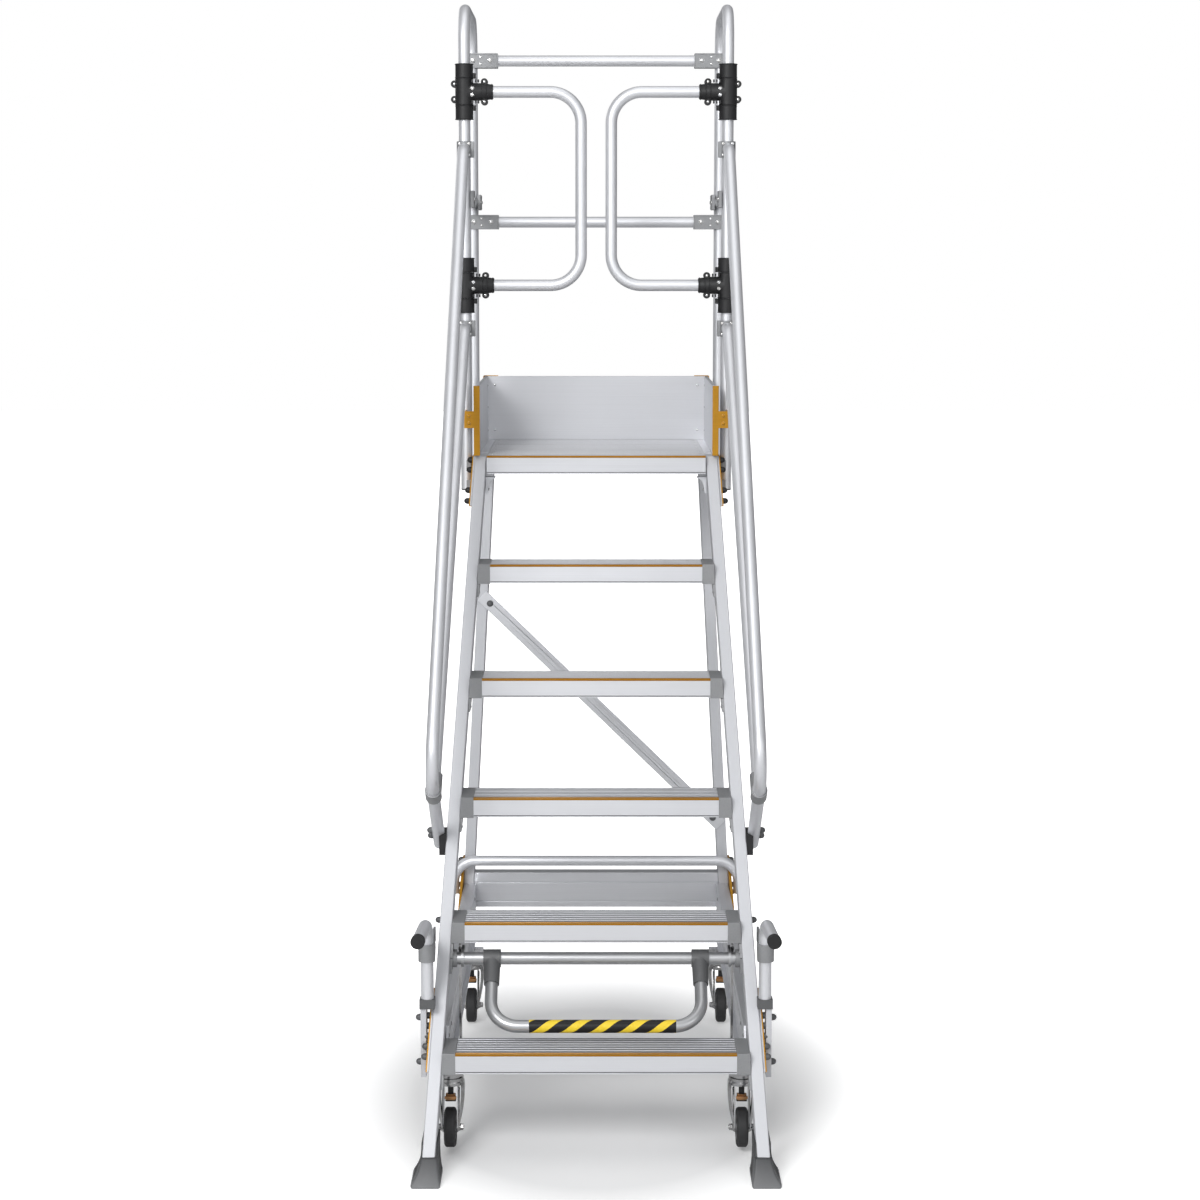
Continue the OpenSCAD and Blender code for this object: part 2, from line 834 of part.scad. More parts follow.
// Fixed sleeves above and below each gate hub
module hinge_sleeves() {
    color(black) stand() both_sides() for (h = [gate_top_h, gate_low_h], up = [0, 1])
        translate([post_x, front_post_y, platform_z + h]) mirror([0, 0, up]) difference() {
            union() {
                translate([0, 0, hub_half + 0.4]) cylinder(d = 49, h = sleeve_h);
                box([-32, -7, hub_half + 0.4], [-20, 7, hub_half + 15]);
            }
            translate([0, 0, hub_half]) cylinder(d = tube_d, h = sleeve_h + 2);
        }
}

module gate(side) {
    start = post_x - 27;
    top = platform_z + gate_top_h;
    low = platform_z + gate_low_h;
    stand() on_side(side) facing([start, front_post_y, top], [-1, 0, 0], [0, 0, -1])
        flat_tube([start - gate_bar_x, top - low, start - gate_bar_x], [90, 90], [85, 85]);
}

module gate_left() {
    color(alu) gate(LEFT);
}

module gate_right() {
    color(alu) gate(RIGHT);
}

// Turning half of a hinge: hub on the post, tapered collar on the gate tube, and bolt lugs
module gate_hub() {
    collar_end = 80;
    difference() {
        union() {
            translate([0, 0, -hub_half]) cylinder(d = 50, h = 2 * hub_half);
            rotate([0, -90, 0]) cylinder(d = 48, h = 48);
            translate([-48, 0, 0]) rotate([0, -90, 0]) cylinder(d1 = 48, d2 = 40, h = collar_end - 48);
            for (p = [[27, 21], [27, -21], [-56, 27], [-56, -27]])
                translate([p.x, 8, p.y]) rotate([90, 0, 0]) cylinder(d = 17, h = 16);
        }
        translate([0, 0, -hub_half - 1]) cylinder(d = tube_d + 2 * play, h = 2 * hub_half + 2);
        translate([-27, 0, 0]) rotate([0, -90, 0]) cylinder(d = tube_d, h = collar_end);
    }
}

module gate_hubs(side) {
    stand() on_side(side) for (h = [gate_top_h, gate_low_h])
        translate([post_x, front_post_y, platform_z + h]) gate_hub();
}

module gate_hubs_left() {
    color(black) gate_hubs(LEFT);
}

module gate_hubs_right() {
    color(black) gate_hubs(RIGHT);
}

// Foot bar and its shaft

module shaft_flanges() {
    color(cast) stand() both_sides() difference() {
        union() {
            translate([shaft_end_x - 8, shaft_y, shaft_z]) rotate([0, 90, 0]) cylinder(d = 46, h = 14);
            frame_plane() yz_plate(-stile_w / 2 - 6, 6)
                translate([shaft_y, frame_z(shaft_z - 12)]) square([60, 40], center = true);
        }
        translate([shaft_end_x - 20, shaft_y, shaft_z]) rotate([0, 90, 0]) cylinder(d = tube_d + 2 * play, h = 21);
        frame_plane() yz_plate(-stile_w / 2, stile_w) square([4000, 4000], center = true);
    }
}

// Shaft with a short arm at each end, whose pin works the castor carrier's link
module lock_shaft() {
    color(alu) stand() {
        straight_tube([-shaft_end_x, shaft_y, shaft_z], [shaft_end_x, shaft_y, shaft_z], tube_d, 3);
        both_sides() {
            difference() {
                union() {
                    translate([arm_x, shaft_y, shaft_z]) rotate([0, 90, 0]) cylinder(d = 44, h = 7);
                    translate([arm_x, pin_y, pin_z]) rotate([0, 90, 0]) cylinder(d = 20, h = 7);
                    translate([0, shaft_y, shaft_z]) rotate([arm_half_angle, 0, 0])
                        box([arm_x, 0, -8], [arm_x + 7, arm_r, 8]);
                }
                translate([arm_x - 1, shaft_y, shaft_z]) rotate([0, 90, 0]) cylinder(d = tube_d + 0.1, h = 9);
            }
            translate([arm_x + 7, pin_y, pin_z]) rotate([0, 90, 0]) cylinder(d = pin_d, h = 10);
        }
    }
}

bar_way = [0, -cos(bar_angle), -sin(bar_angle)];

module foot_bar() {
    root_gap = tube_d / 2 + 4;
    leg = bar_reach - root_gap;
    color(alu) stand() facing([-bar_x, shaft_y, shaft_z] + bar_way * root_gap, bar_way, [1, 0, 0])
        flat_tube([leg, 2 * bar_x, leg], [90, 90], [70, 70]);
}

module bar_sockets() {
    color(cast) stand() both_sides() difference() {
        union() {
            translate([bar_x - 22, shaft_y, shaft_z]) rotate([0, 90, 0]) cylinder(d = 46, h = 44);
            translate([bar_x, shaft_y, shaft_z]) along([0, 0, 0], bar_way) cylinder(d1 = 44, d2 = 39, h = 76);
        }
        translate([bar_x - 30, shaft_y, shaft_z]) rotate([0, 90, 0]) cylinder(d = tube_d, h = 60);
        translate([bar_x, shaft_y, shaft_z] + bar_way * (tube_d / 2 + 4)) along([0, 0, 0], bar_way)
            cylinder(d = tube_d, h = 90);
    }
}

module hazard_tape() {
    middle = [16, shaft_y, shaft_z] + bar_way * bar_reach;
    color("gold") stand() straight_tube(middle - [184, 0, 0], middle + [184, 0, 0], tube_d + 0.9, 0.4);
}

// Castors

// Kingpin, fixed race and plate that a fork turns under; base height lift, plate up to z1
module castor_head(lift, plate_t) {
    translate([0, 0, lift]) {
        translate([0, 0, castor_top_z]) translate([-33, -42, 0]) cube([66, 84, plate_t]);
        translate([0, 0, castor_top_z - 12]) cylinder(d = 56, h = 12);
        translate([0, 0, 150]) cylinder(d = kingpin_d, h = 30);
        translate([0, 0, 146]) cylinder(d = 18, h = 8);
    }
}

module at_castor(side, front) {
    stand() on_side(side) translate([castor_x, front ? -front_castor_y : rear_castor_y, 0]) children();
}

module castor_mounts() {
    color(cast) {
        for (side = [LEFT, RIGHT]) {
            at_castor(side, false) castor_head(0, beam_z - castor_top_z);
            at_castor(side, true) translate([stem_x - castor_x, stem_back, beam_z]) difference() {
                cylinder(d = bush_d, h = 66);
                translate([0, 0, -1]) cylinder(d = stem_d + 2 * play, h = 68);
            }
        }
    }
}

module castor_carrier(side) {
    top = castor_top_z + parked_gap + 8;
    at_castor(side, true) {
        castor_head(parked_gap, 8);
        translate([0, 42, top - 8]) translate([-33, 0, 0]) cube([66, pin_y + front_castor_y - 42 + 14, 8]);
        translate([stem_x - castor_x, stem_back, top - 1]) cylinder(d = stem_d, h = 88);
    }
    stand() on_side(side) difference() {
        box([link_x, pin_y - 12, top - 1], [link_x + 6, pin_y + 12, pin_z + 14]);
        for (y = [-3, 3]) translate([link_x - 1, pin_y + y, pin_z]) rotate([0, 90, 0]) cylinder(d = pin_d + 0.6, h = 8);
        box([link_x - 1, pin_y - 3, pin_z - pin_d / 2 - 0.3], [link_x + 7, pin_y + 3, pin_z + pin_d / 2 + 0.3]);
    }
}

module castor_carrier_left() {
    color(cast) castor_carrier(LEFT);
}

module castor_carrier_right() {
    color(cast) castor_carrier(RIGHT);
}

// Swivelling fork with its axle, trailing towards the climbing side
module fork(side, front) {
    leg_x = hub_w / 2 + 0.6;
    leg_t = 3;
    crown_z = 158;
    at_castor(side, front) translate([0, 0, front ? parked_gap : 0]) {
        difference() {
            union() {
                translate([0, 0, crown_z - 4]) cylinder(d = head_d - 6, h = 4);
                translate([0, 0, crown_z]) cylinder(d = head_d, h = castor_top_z - 12.4 - crown_z);
                for (s = [LEFT, RIGHT]) on_side(s) yz_plate(leg_x, leg_t) {
                    polygon([[-26, crown_z], [26, crown_z], [-trail + 13, wheel_d / 2], [-trail - 13, wheel_d / 2]]);
                    translate([-trail, wheel_d / 2]) circle(d = 26);
                }
            }
            translate([0, 0, 140]) cylinder(d = kingpin_d + 2 * play, h = 50);
            translate([0, 0, 140]) cylinder(d = 19, h = crown_z - 140 - 3.6);
        }
        translate([-leg_x - 1, -trail, wheel_d / 2]) rotate([0, 90, 0]) cylinder(d = axle_d, h = 2 * leg_x + 2);
        for (s = [LEFT, RIGHT]) on_side(s)
            translate([leg_x + leg_t, -trail, wheel_d / 2]) rotate([0, 90, 0]) cylinder(d = 17, h = 6);
    }
}

module fork_front_left() {
    color(chrome) fork(LEFT, true);
}

module fork_front_right() {
    color(chrome) fork(RIGHT, true);
}

module fork_rear_left() {
    color(chrome) fork(LEFT, false);
}

module fork_rear_right() {
    color(chrome) fork(RIGHT, false);
}

module at_axle(side, front) {
    at_castor(side, front) translate([0, -trail, wheel_d / 2 + (front ? parked_gap : 0)])
        rotate([0, 90, 0]) children();
}

hub_d = 70;

module tyre(side, front) {
    crown = 4;
    at_axle(side, front) rotate_extrude() polygon([
        [hub_d / 2, -wheel_w / 2], [wheel_d / 2 - crown, -wheel_w / 2], [wheel_d / 2, -wheel_w / 2 + crown],
        [wheel_d / 2, wheel_w / 2 - crown], [wheel_d / 2 - crown, wheel_w / 2], [hub_d / 2, wheel_w / 2]
    ]);
}

module tyre_front_left() {
    color(black) tyre(LEFT, true);
}

module tyre_front_right() {
    color(black) tyre(RIGHT, true);
}

module tyre_rear_left() {
    color(black) tyre(LEFT, false);
}

module tyre_rear_right() {
    color(black) tyre(RIGHT, false);
}

module hub(side, front) {
    at_axle(side, front) difference() {
        union() {
            cylinder(d = hub_d, h = wheel_w - 10, center = true);
            cylinder(d = 26, h = hub_w, center = true);
        }
        cylinder(d = axle_d + 2 * play, h = hub_w + 2, center = true);
    }
}

module hub_front_left() {
    color(cast) hub(LEFT, true);
}

module hub_front_right() {
    color(cast) hub(RIGHT, true);
}

module hub_rear_left() {
    color(cast) hub(LEFT, false);
}

module hub_rear_right() {
    color(cast) hub(RIGHT, false);
}

stile_left();
stile_right();
rear_leg_left();
rear_leg_right();
step_1();
step_2();
step_3();
step_4();
step_5();
step_brackets();
nosing_strips();
platform_deck();
platform_frame();
toe_board_left();
toe_board_right();
toe_board_rear();
toe_board_trims();
gusset_plates();
diagonal_brace();
base_beam_left();
base_beam_right();
back_beam();
back_handle();
guard_loop_left();
guard_loop_right();
guard_rails();
rail_clamps();
handrail_left();
handrail_right();
mid_handrails();
joint_castings();
rubber_feet();
side_handles();
handle_caps();
cap_bolts();
hinge_sleeves();
shaft_flanges();
castor_mounts();
gate_left();
gate_right();
gate_hubs_left();
gate_hubs_right();
lock_shaft();
foot_bar();
bar_sockets();
hazard_tape();
castor_carrier_left();
castor_carrier_right();
fork_front_left();
fork_front_right();
fork_rear_left();
fork_rear_right();
tyre_front_left();
tyre_front_right();
tyre_rear_left();
tyre_rear_right();
hub_front_left();
hub_front_right();
hub_rear_left();
hub_rear_right();
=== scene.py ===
import bmesh
import bpy
import math
from mathutils import Matrix, Vector


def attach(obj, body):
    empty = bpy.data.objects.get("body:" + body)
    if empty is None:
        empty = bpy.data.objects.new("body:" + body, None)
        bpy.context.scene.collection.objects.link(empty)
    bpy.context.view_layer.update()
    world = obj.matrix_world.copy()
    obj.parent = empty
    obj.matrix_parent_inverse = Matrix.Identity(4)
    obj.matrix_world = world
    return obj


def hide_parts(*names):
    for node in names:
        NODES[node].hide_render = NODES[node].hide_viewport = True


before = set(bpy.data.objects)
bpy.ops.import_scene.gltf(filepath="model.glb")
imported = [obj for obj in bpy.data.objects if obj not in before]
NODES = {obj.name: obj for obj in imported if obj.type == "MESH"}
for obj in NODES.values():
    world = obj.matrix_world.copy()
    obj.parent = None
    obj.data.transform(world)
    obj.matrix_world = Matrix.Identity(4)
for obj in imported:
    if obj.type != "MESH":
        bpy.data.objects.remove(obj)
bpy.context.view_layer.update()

LEFT, RIGHT = -1, 1
SIDES = ((LEFT, "left"), (RIGHT, "right"))

# Main sizes of the stand, in metres, in the frame's axes
NOSE_Y = 0.2035
DECK_Z = 1.692
RISE = 0.282
GOING = 0.192
TUBE_R = 0.016
POST_X = 0.365
FRONT_POST_Y = 0.100 + NOSE_Y
REAR_POST_Y = 0.560 + NOSE_Y
SPLAY = math.radians(3.07)
# Middle of the stile at the deck's height
STILE_X = 0.322
STILE_W = 0.0320
STILE_DEPTH = 0.0968
LEG_Y = 0.680 + NOSE_Y
TREAD_H = 0.050
FOOT_H = 0.090
FOOT_WALL = 0.009
WHEEL_R = 0.050

# Mesh and edge settings that all pieces share
SAME_SPOT = 1e-6
SHARP_ANGLE = math.radians(35.0)
CREASE_ANGLE = math.radians(38.0)
BEVEL_ANGLE = math.radians(34.0)
BEVEL_SEGMENTS = 2
# Radius that finds the convex edges for the painted edge highlight
HIGHLIGHT_EDGE_R = 0.0012


# ---------------------------------------------------------------- materials

def plug(tree, socket, value):
    """Links the socket to another one, or gives it a plain value."""
    if hasattr(value, "is_linked"):
        tree.links.new(value, socket)
    else:
        socket.default_value = value


def math_node(tree, op, a, b):
    n = tree.nodes.new("ShaderNodeMath")
    n.operation = op
    for socket, value in zip(n.inputs, (a, b)):
        plug(tree, socket, value)
    return n.outputs[0]


class Web:
    """A new material and the helpers that wire its shader nodes."""

    def __init__(self, name):
        self.mat = bpy.data.materials.new(name)
        self.mat.use_nodes = True
        self.tree = self.mat.node_tree
        self.tree.nodes.clear()
        out = self.tree.nodes.new("ShaderNodeOutputMaterial")
        self.bsdf = self.tree.nodes.new("ShaderNodeBsdfPrincipled")
        self.tree.links.new(self.bsdf.outputs["BSDF"], out.inputs["Surface"])
        self.coord = self.tree.nodes.new("ShaderNodeTexCoord").outputs["Object"]

    def math(self, op, a, b=0.0):
        return math_node(self.tree, op, a, b)

    def split_coord(self):
        n = self.tree.nodes.new("ShaderNodeSeparateXYZ")
        self.tree.links.new(self.coord, n.inputs[0])
        return n.outputs

    def stretched(self, scale):
        n = self.tree.nodes.new("ShaderNodeMapping")
        self.tree.links.new(self.coord, n.inputs["Vector"])
        n.inputs["Scale"].default_value = scale
        return n.outputs["Vector"]

    def noise(self, scale, detail=3.0, rough=0.5, vector=None):
        n = self.tree.nodes.new("ShaderNodeTexNoise")
        self.tree.links.new(vector if vector is not None else self.coord, n.inputs["Vector"])
        n.inputs["Scale"].default_value = scale
        n.inputs["Detail"].default_value = detail
        n.inputs["Roughness"].default_value = rough
        return n.outputs["Fac"]

    def remap(self, value, low, high, from_low=0.3, from_high=0.7):
        n = self.tree.nodes.new("ShaderNodeMapRange")
        self.tree.links.new(value, n.inputs["Value"])
        n.inputs["From Min"].default_value = from_low
        n.inputs["From Max"].default_value = from_high
        n.inputs["To Min"].default_value = low
        n.inputs["To Max"].default_value = high
        return n.outputs["Result"]

    def mix(self, factor, a, b):
        n = self.tree.nodes.new("ShaderNodeMix")
        n.data_type = "RGBA"
        plug(self.tree, n.inputs[0], factor)
        for socket, value in ((n.inputs[6], a), (n.inputs[7], b)):
            if isinstance(value, tuple):
                socket.default_value = (*value, 1.0)
            else:
                self.tree.links.new(value, socket)
        return n.outputs[2]

    def bump(self, height, strength, distance, normal=None):
        n = self.tree.nodes.new("ShaderNodeBump")
        self.tree.links.new(height, n.inputs["Height"])
        n.inputs["Strength"].default_value = strength
        n.inputs["Distance"].default_value = distance
        if normal is not None:
            self.tree.links.new(normal, n.inputs["Normal"])
        return n.outputs["Normal"]

    def edges(self):
        """About 1 on convex edges, 0 elsewhere: the mask of the painted highlight along them."""
        bevel = self.tree.nodes.new("ShaderNodeBevel")
        bevel.samples = 4
        bevel.inputs["Radius"].default_value = HIGHLIGHT_EDGE_R
        geometry = self.tree.nodes.new("ShaderNodeNewGeometry")
        dot = self.tree.nodes.new("ShaderNodeVectorMath")
        dot.operation = "DOT_PRODUCT"
        self.tree.links.new(bevel.outputs["Normal"], dot.inputs[0])
        self.tree.links.new(geometry.outputs["Normal"], dot.inputs[1])
        return self.remap(dot.outputs["Value"], 1.0, 0.0, 0.82, 0.995)

    def facing_up(self):
        """1 on faces that look up, 0 on the rest."""
        geometry = self.tree.nodes.new("ShaderNodeNewGeometry")
        split = self.tree.nodes.new("ShaderNodeSeparateXYZ")
        self.tree.links.new(geometry.outputs["True Normal"], split.inputs[0])
        return self.remap(split.outputs[2], 0.0, 1.0, 0.55, 0.85)

    def set(self, **sockets):
        for key, value in sockets.items():
            socket = self.bsdf.inputs[key.replace("_", " ")]
            if isinstance(value, tuple) and len(value) == 3:
                socket.default_value = (*value, 1.0)
            else:
                plug(self.tree, socket, value)
        return self.mat


def aluminium(name, base, stretch, rough=0.36, grain=0.05, metallic=0.75, top_shade_and_dirt=0.0):
    """Extruded, satin-anodised aluminium. stretch is small along the die lines; the last argument darkens upper
    faces, partly as painted shade in the ribs' grooves and partly as dirt.
    """
    w = Web(name)
    lines = w.noise(1.0, 4.0, 0.65, w.stretched(stretch))
    broad = w.noise(3.2, 3.0, 0.5)
    tone = w.mix(w.remap(lines, 0.0, 1.0), tuple(c * 0.93 for c in base), base)
    tone = w.mix(w.remap(broad, 0.0, 0.35), tone, tuple(c * 0.90 for c in base))
    # Painted shade, with some dirt: faces that look up get darker
    if top_shade_and_dirt:
        tone = w.mix(w.math("MULTIPLY", w.facing_up(), top_shade_and_dirt), tone, tuple(c * 0.30 for c in base))
    speck = w.noise(900.0, 2.0, 0.5)
    roughness = w.math("ADD", w.remap(lines, rough - 0.05, rough + 0.07), w.remap(broad, -0.03, 0.04))
    normal = w.bump(lines, grain, 0.0006)
    normal = w.bump(speck, 0.06, 0.0002, normal)
    return w.set(Base_Color=tone, Metallic=metallic, Roughness=roughness, Normal=normal, Specular_IOR_Level=0.5)


def tube_aluminium(name, base, metallic=0.64, rough=0.45):
    w = Web(name)
    broad = w.noise(5.0, 4.0, 0.55)
    fine = w.noise(420.0, 3.0, 0.6)
    tone = w.mix(w.remap(broad, 0.0, 1.0), tuple(c * 0.94 for c in base), base)
    tone = w.mix(w.remap(fine, 0.0, 0.25), tone, tuple(c * 0.88 for c in base))
    roughness = w.math("ADD", w.remap(fine, rough - 0.04, rough + 0.05), w.remap(broad, -0.03, 0.03))
    return w.set(Base_Color=tone, Metallic=metallic, Roughness=roughness, Normal=w.bump(fine, 0.05, 0.0003))


def casting(name, base, rough=0.55, metallic=0.45):
    w = Web(name)
    skin = w.noise(260.0, 5.0, 0.65)
    patch = w.noise(14.0, 3.0, 0.5)
    tone = w.mix(w.remap(skin, 0.0, 1.0), tuple(c * 0.86 for c in base), base)
    tone = w.mix(w.remap(patch, 0.0, 0.5), tone, tuple(min(1.0, c * 1.14) for c in base))
    # Painted highlight: convex edges lighter
    tone = w.mix(w.math("MULTIPLY", w.edges(), 0.5), tone, tuple(min(1.0, c * 1.7) for c in base))
    return w.set(Base_Color=tone, Metallic=metallic, Roughness=w.remap(patch, rough - 0.06, rough + 0.08),
                 Normal=w.bump(skin, 0.22, 0.0005))


def anodised(name, base):
    w = Web(name)
    lines = w.noise(1.0, 4.0, 0.6, w.stretched((6.0, 420.0, 420.0)))
    patch = w.noise(9.0, 3.0, 0.5)
    tone = w.mix(w.remap(lines, 0.0, 1.0), tuple(c * 0.86 for c in base), base)
    tone = w.mix(w.remap(patch, 0.0, 0.35), tone, tuple(min(1.0, c * 1.25) for c in base))
    # Painted highlight: convex edges paler gold
    tone = w.mix(w.math("MULTIPLY", w.edges(), 0.45), tone, (0.80, 0.66, 0.40))
    return w.set(Base_Color=tone, Metallic=0.55, Roughness=w.remap(lines, 0.34, 0.46),
                 Normal=w.bump(lines, 0.06, 0.0004), Specular_IOR_Level=0.3)


def plastic(name, base, rough=0.42):
    w = Web(name)
    grain = w.noise(620.0, 3.0, 0.6)
    patch = w.noise(22.0, 3.0, 0.5)
    tone = w.mix(w.remap(patch, 0.0, 1.0), base, tuple(c * 1.35 + 0.002 for c in base))
    # Painted highlight: convex edges lighter
    tone = w.mix(w.math("MULTIPLY", w.edges(), 0.5), tone, tuple(c * 2.6 + 0.02 for c in base))
    return w.set(Base_Color=tone, Roughness=w.remap(grain, rough - 0.05, rough + 0.10),
                 Normal=w.bump(grain, 0.18, 0.0004))


def rubber(name, base, rough, pale_near_floor=0.0):
    """Moulded rubber. The last argument is the share of a paler tone at the floor, which ends 68 mm above it."""
    w = Web(name)
    grain = w.noise(380.0, 4.0, 0.7)
    dust = w.noise(30.0, 5.0, 0.6)
    tone = w.mix(w.remap(dust, 0.0, 1.0), base, tuple(c * 1.5 + 0.004 for c in base))
    # Paler towards the floor, fading out 68 mm above it
    if pale_near_floor:
        height = w.split_coord()[2]
        tone = w.mix(w.remap(height, pale_near_floor, 0.0, 0.004, 0.068), tone, tuple(c * 3.5 + 0.08 for c in base))
    # Painted highlight: convex edges lighter
    tone = w.mix(w.math("MULTIPLY", w.edges(), 0.6), tone, tuple(c * 2.2 + 0.02 for c in base))
    return w.set(Base_Color=tone, Roughness=w.remap(dust, rough - 0.08, rough + 0.1),
                 Normal=w.bump(grain, 0.25, 0.0006))


def plated(name, base, rough=0.16):
    w = Web(name)
    patch = w.noise(40.0, 4.0, 0.6)
    fine = w.noise(500.0, 3.0, 0.6)
    tone = w.mix(w.remap(patch, 0.0, 1.0), base, (base[0] * 0.86, base[1] * 0.83, base[2] * 0.78))
    return w.set(Base_Color=tone, Metallic=1.0, Roughness=w.remap(patch, rough, rough + 0.14),
                 Normal=w.bump(fine, 0.05, 0.0002))


def tape(name, pitch, twist, centre_y, centre_z):
    """Yellow and black bands wound round a tube that lies along x: pitch in metres, twist sets how far they lean."""
    black_share = 0.58
    w = Web(name)
    x, y, z = w.split_coord()
    turn = w.math("ARCTAN2", w.math("SUBTRACT", z, centre_z), w.math("SUBTRACT", centre_y, y))
    along = w.math("SUBTRACT", x, w.math("MULTIPLY", turn, twist * TUBE_R))
    band = w.math("FRACT", w.math("ADD", w.math("DIVIDE", along, pitch), 10.0))
    black = w.math("GREATER_THAN", band, 1.0 - black_share)
    wear = w.noise(160.0, 4.0, 0.6)
    yellow = w.mix(w.remap(wear, 0.0, 1.0), (0.80, 0.55, 0.02), (0.88, 0.66, 0.05))
    dark = w.mix(w.remap(wear, 0.0, 1.0), (0.004, 0.004, 0.004), (0.009, 0.009, 0.009))
    tone = w.mix(black, yellow, dark)
    return w.set(Base_Color=tone, Roughness=w.remap(wear, 0.28, 0.40), Specular_IOR_Level=0.35, Coat_Weight=0.05,
                 Normal=w.bump(wear, 0.08, 0.0002))


BRIGHT = (0.735, 0.742, 0.770)
MAT_ALONG_X = aluminium("aluminium_along_x", BRIGHT, (3.0, 520.0, 520.0))
MAT_ALONG_Y = aluminium("aluminium_along_y", BRIGHT, (520.0, 3.0, 520.0))
# A darker, less metallic copy of the bright aluminium for the stiles, rear legs and a few small parts: painted shade
# that tones them down under the front light
MAT_ALONG_Z_SHADED = aluminium("aluminium_along_z_shaded", (0.595, 0.602, 0.628), (520.0, 520.0, 3.0), rough=0.50,
                        metallic=0.28)
# Tread tops darkened: painted shade in the ribs' grooves, with some dirt
MAT_TREAD = aluminium("aluminium_tread", (0.775, 0.782, 0.812), (3.0, 900.0, 900.0), rough=0.42, grain=0.10,
                      top_shade_and_dirt=0.70)
MAT_BOARD = aluminium("aluminium_board", (0.695, 0.702, 0.730), (3.0, 700.0, 700.0), rough=0.38)
MAT_TUBE = tube_aluminium("aluminium_tube", (0.750, 0.757, 0.785))
MAT_STEEL = tube_aluminium("satin_steel", (0.50, 0.505, 0.515), metallic=0.85, rough=0.34)
MAT_CAST = casting("cast_grey", (0.30, 0.304, 0.312))
MAT_CAST_LIGHT = casting("cast_light", (0.285, 0.289, 0.297), rough=0.50, metallic=0.5)
MAT_CAST_DARK = casting("cast_dark", (0.115, 0.117, 0.12), rough=0.52, metallic=0.3)
MAT_ORANGE = anodised("gold_anodised", (0.50, 0.245, 0.022))
MAT_STRIP = anodised("gold_strip", (0.37, 0.160, 0.009))
MAT_BLACK = plastic("black_plastic", (0.006, 0.006, 0.007), rough=0.52)
MAT_DARK_CAP = plastic("dark_cap", (0.075, 0.077, 0.080), rough=0.40)
MAT_FOOT = rubber("foot_rubber", (0.034, 0.035, 0.037), rough=0.52, pale_near_floor=0.75)
MAT_TYRE = rubber("tyre_rubber", (0.018, 0.018, 0.019), rough=0.62)
MAT_HUB = plastic("hub_plastic", (0.12, 0.12, 0.125))
MAT_CHROME = plated("zinc_plate", (0.72, 0.73, 0.75))
MAT_CASTOR = plated("castor_zinc", (0.40, 0.405, 0.42), rough=0.12)
MAT_BRASS = plated("yellow_zinc", (0.50, 0.27, 0.13), rough=0.3)


# ---------------------------------------------------------------- mesh tools

def link_object(name, data):
    o = bpy.data.objects.new(name, data)
    bpy.context.scene.collection.objects.link(o)
    return o


def make(name, bm, material, body, bevel=0.0):
    """Turns a bmesh into a piece that rides on a body."""
    bmesh.ops.remove_doubles(bm, verts=bm.verts, dist=SAME_SPOT)
    bmesh.ops.recalc_face_normals(bm, faces=bm.faces)
    mesh = bpy.data.meshes.new(name)
    bm.to_mesh(mesh)
    bm.free()
    o = link_object(name, mesh)
    mesh.materials.append(material)
    mesh.shade_smooth()
    mesh.set_sharp_from_angle(angle=SHARP_ANGLE)
    if bevel:
        soften(o, bevel)
    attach(o, body)


def soften(o, width):
    m = o.modifiers.new("soft_edges", "BEVEL")
    m.width = width
    m.segments = BEVEL_SEGMENTS
    m.limit_method = "ANGLE"
    m.angle_limit = BEVEL_ANGLE
    m.harden_normals = True
    m.use_clamp_overlap = True


def basis(origin, axis, up=(0, 0, 1)):
    """Matrix whose local z is the axis."""
    z = Vector(axis).normalized()
    x = Vector(up).cross(z)
    if x.length < 1e-5:
        x = Vector((1, 0, 0))
    x.normalize()
    y = z.cross(x)
    m = Matrix((x, y, z)).transposed().to_4x4()
    m.translation = Vector(origin)
    return m


def from_to(a, b):
    """Matrix that starts at a, with its local z towards b, and the distance between the two."""
    way = b - a
    return Matrix.Translation(a) @ way.to_track_quat("Z", "X").to_matrix().to_4x4(), way.length


def lathe(bm, profile, matrix, steps=32, closed=False):
    """Turns a list of (radius, height) round the local z axis. A closed profile makes a ring."""
    rings = []
    for r, h in profile:
        if r < 1e-7:
            rings.append([bm.verts.new(matrix @ Vector((0, 0, h)))])
        else:
            rings.append([bm.verts.new(matrix @ Vector((r * math.cos(2 * math.pi * i / steps),
                                                        r * math.sin(2 * math.pi * i / steps), h)))
                          for i in range(steps)])
    pairs = list(zip(rings, rings[1:]))
    if closed:
        pairs.append((rings[-1], rings[0]))
    for a, b in pairs:
        for i in range(steps):
            j = (i + 1) % steps
            if len(a) == 1 and len(b) == 1:
                continue
            if len(a) == 1:
                bm.faces.new((a[0], b[j], b[i]))
            elif len(b) == 1:
                bm.faces.new((a[i], a[j], b[0]))
            else:
                bm.faces.new((a[i], a[j], b[j], b[i]))


def prism(bm, outline, matrix, depth):
    """Outline in the local xy plane, given depth along local z."""
    low = [bm.verts.new(matrix @ Vector((x, y, 0))) for x, y in outline]
    high = [bm.verts.new(matrix @ Vector((x, y, depth))) for x, y in outline]
    bm.faces.new(low[::-1])
    bm.faces.new(high)
    n = len(outline)
    for i in range(n):
        bm.faces.new((low[i], low[(i + 1) % n], high[(i + 1) % n], high[i]))


def join_rings(bm, rings):
    """Quads between rings of the same number of vertices."""
    for a, b in zip(rings, rings[1:]):
        n = len(a)
        for i in range(n):
            bm.faces.new((a[i], a[(i + 1) % n], b[(i + 1) % n], b[i]))


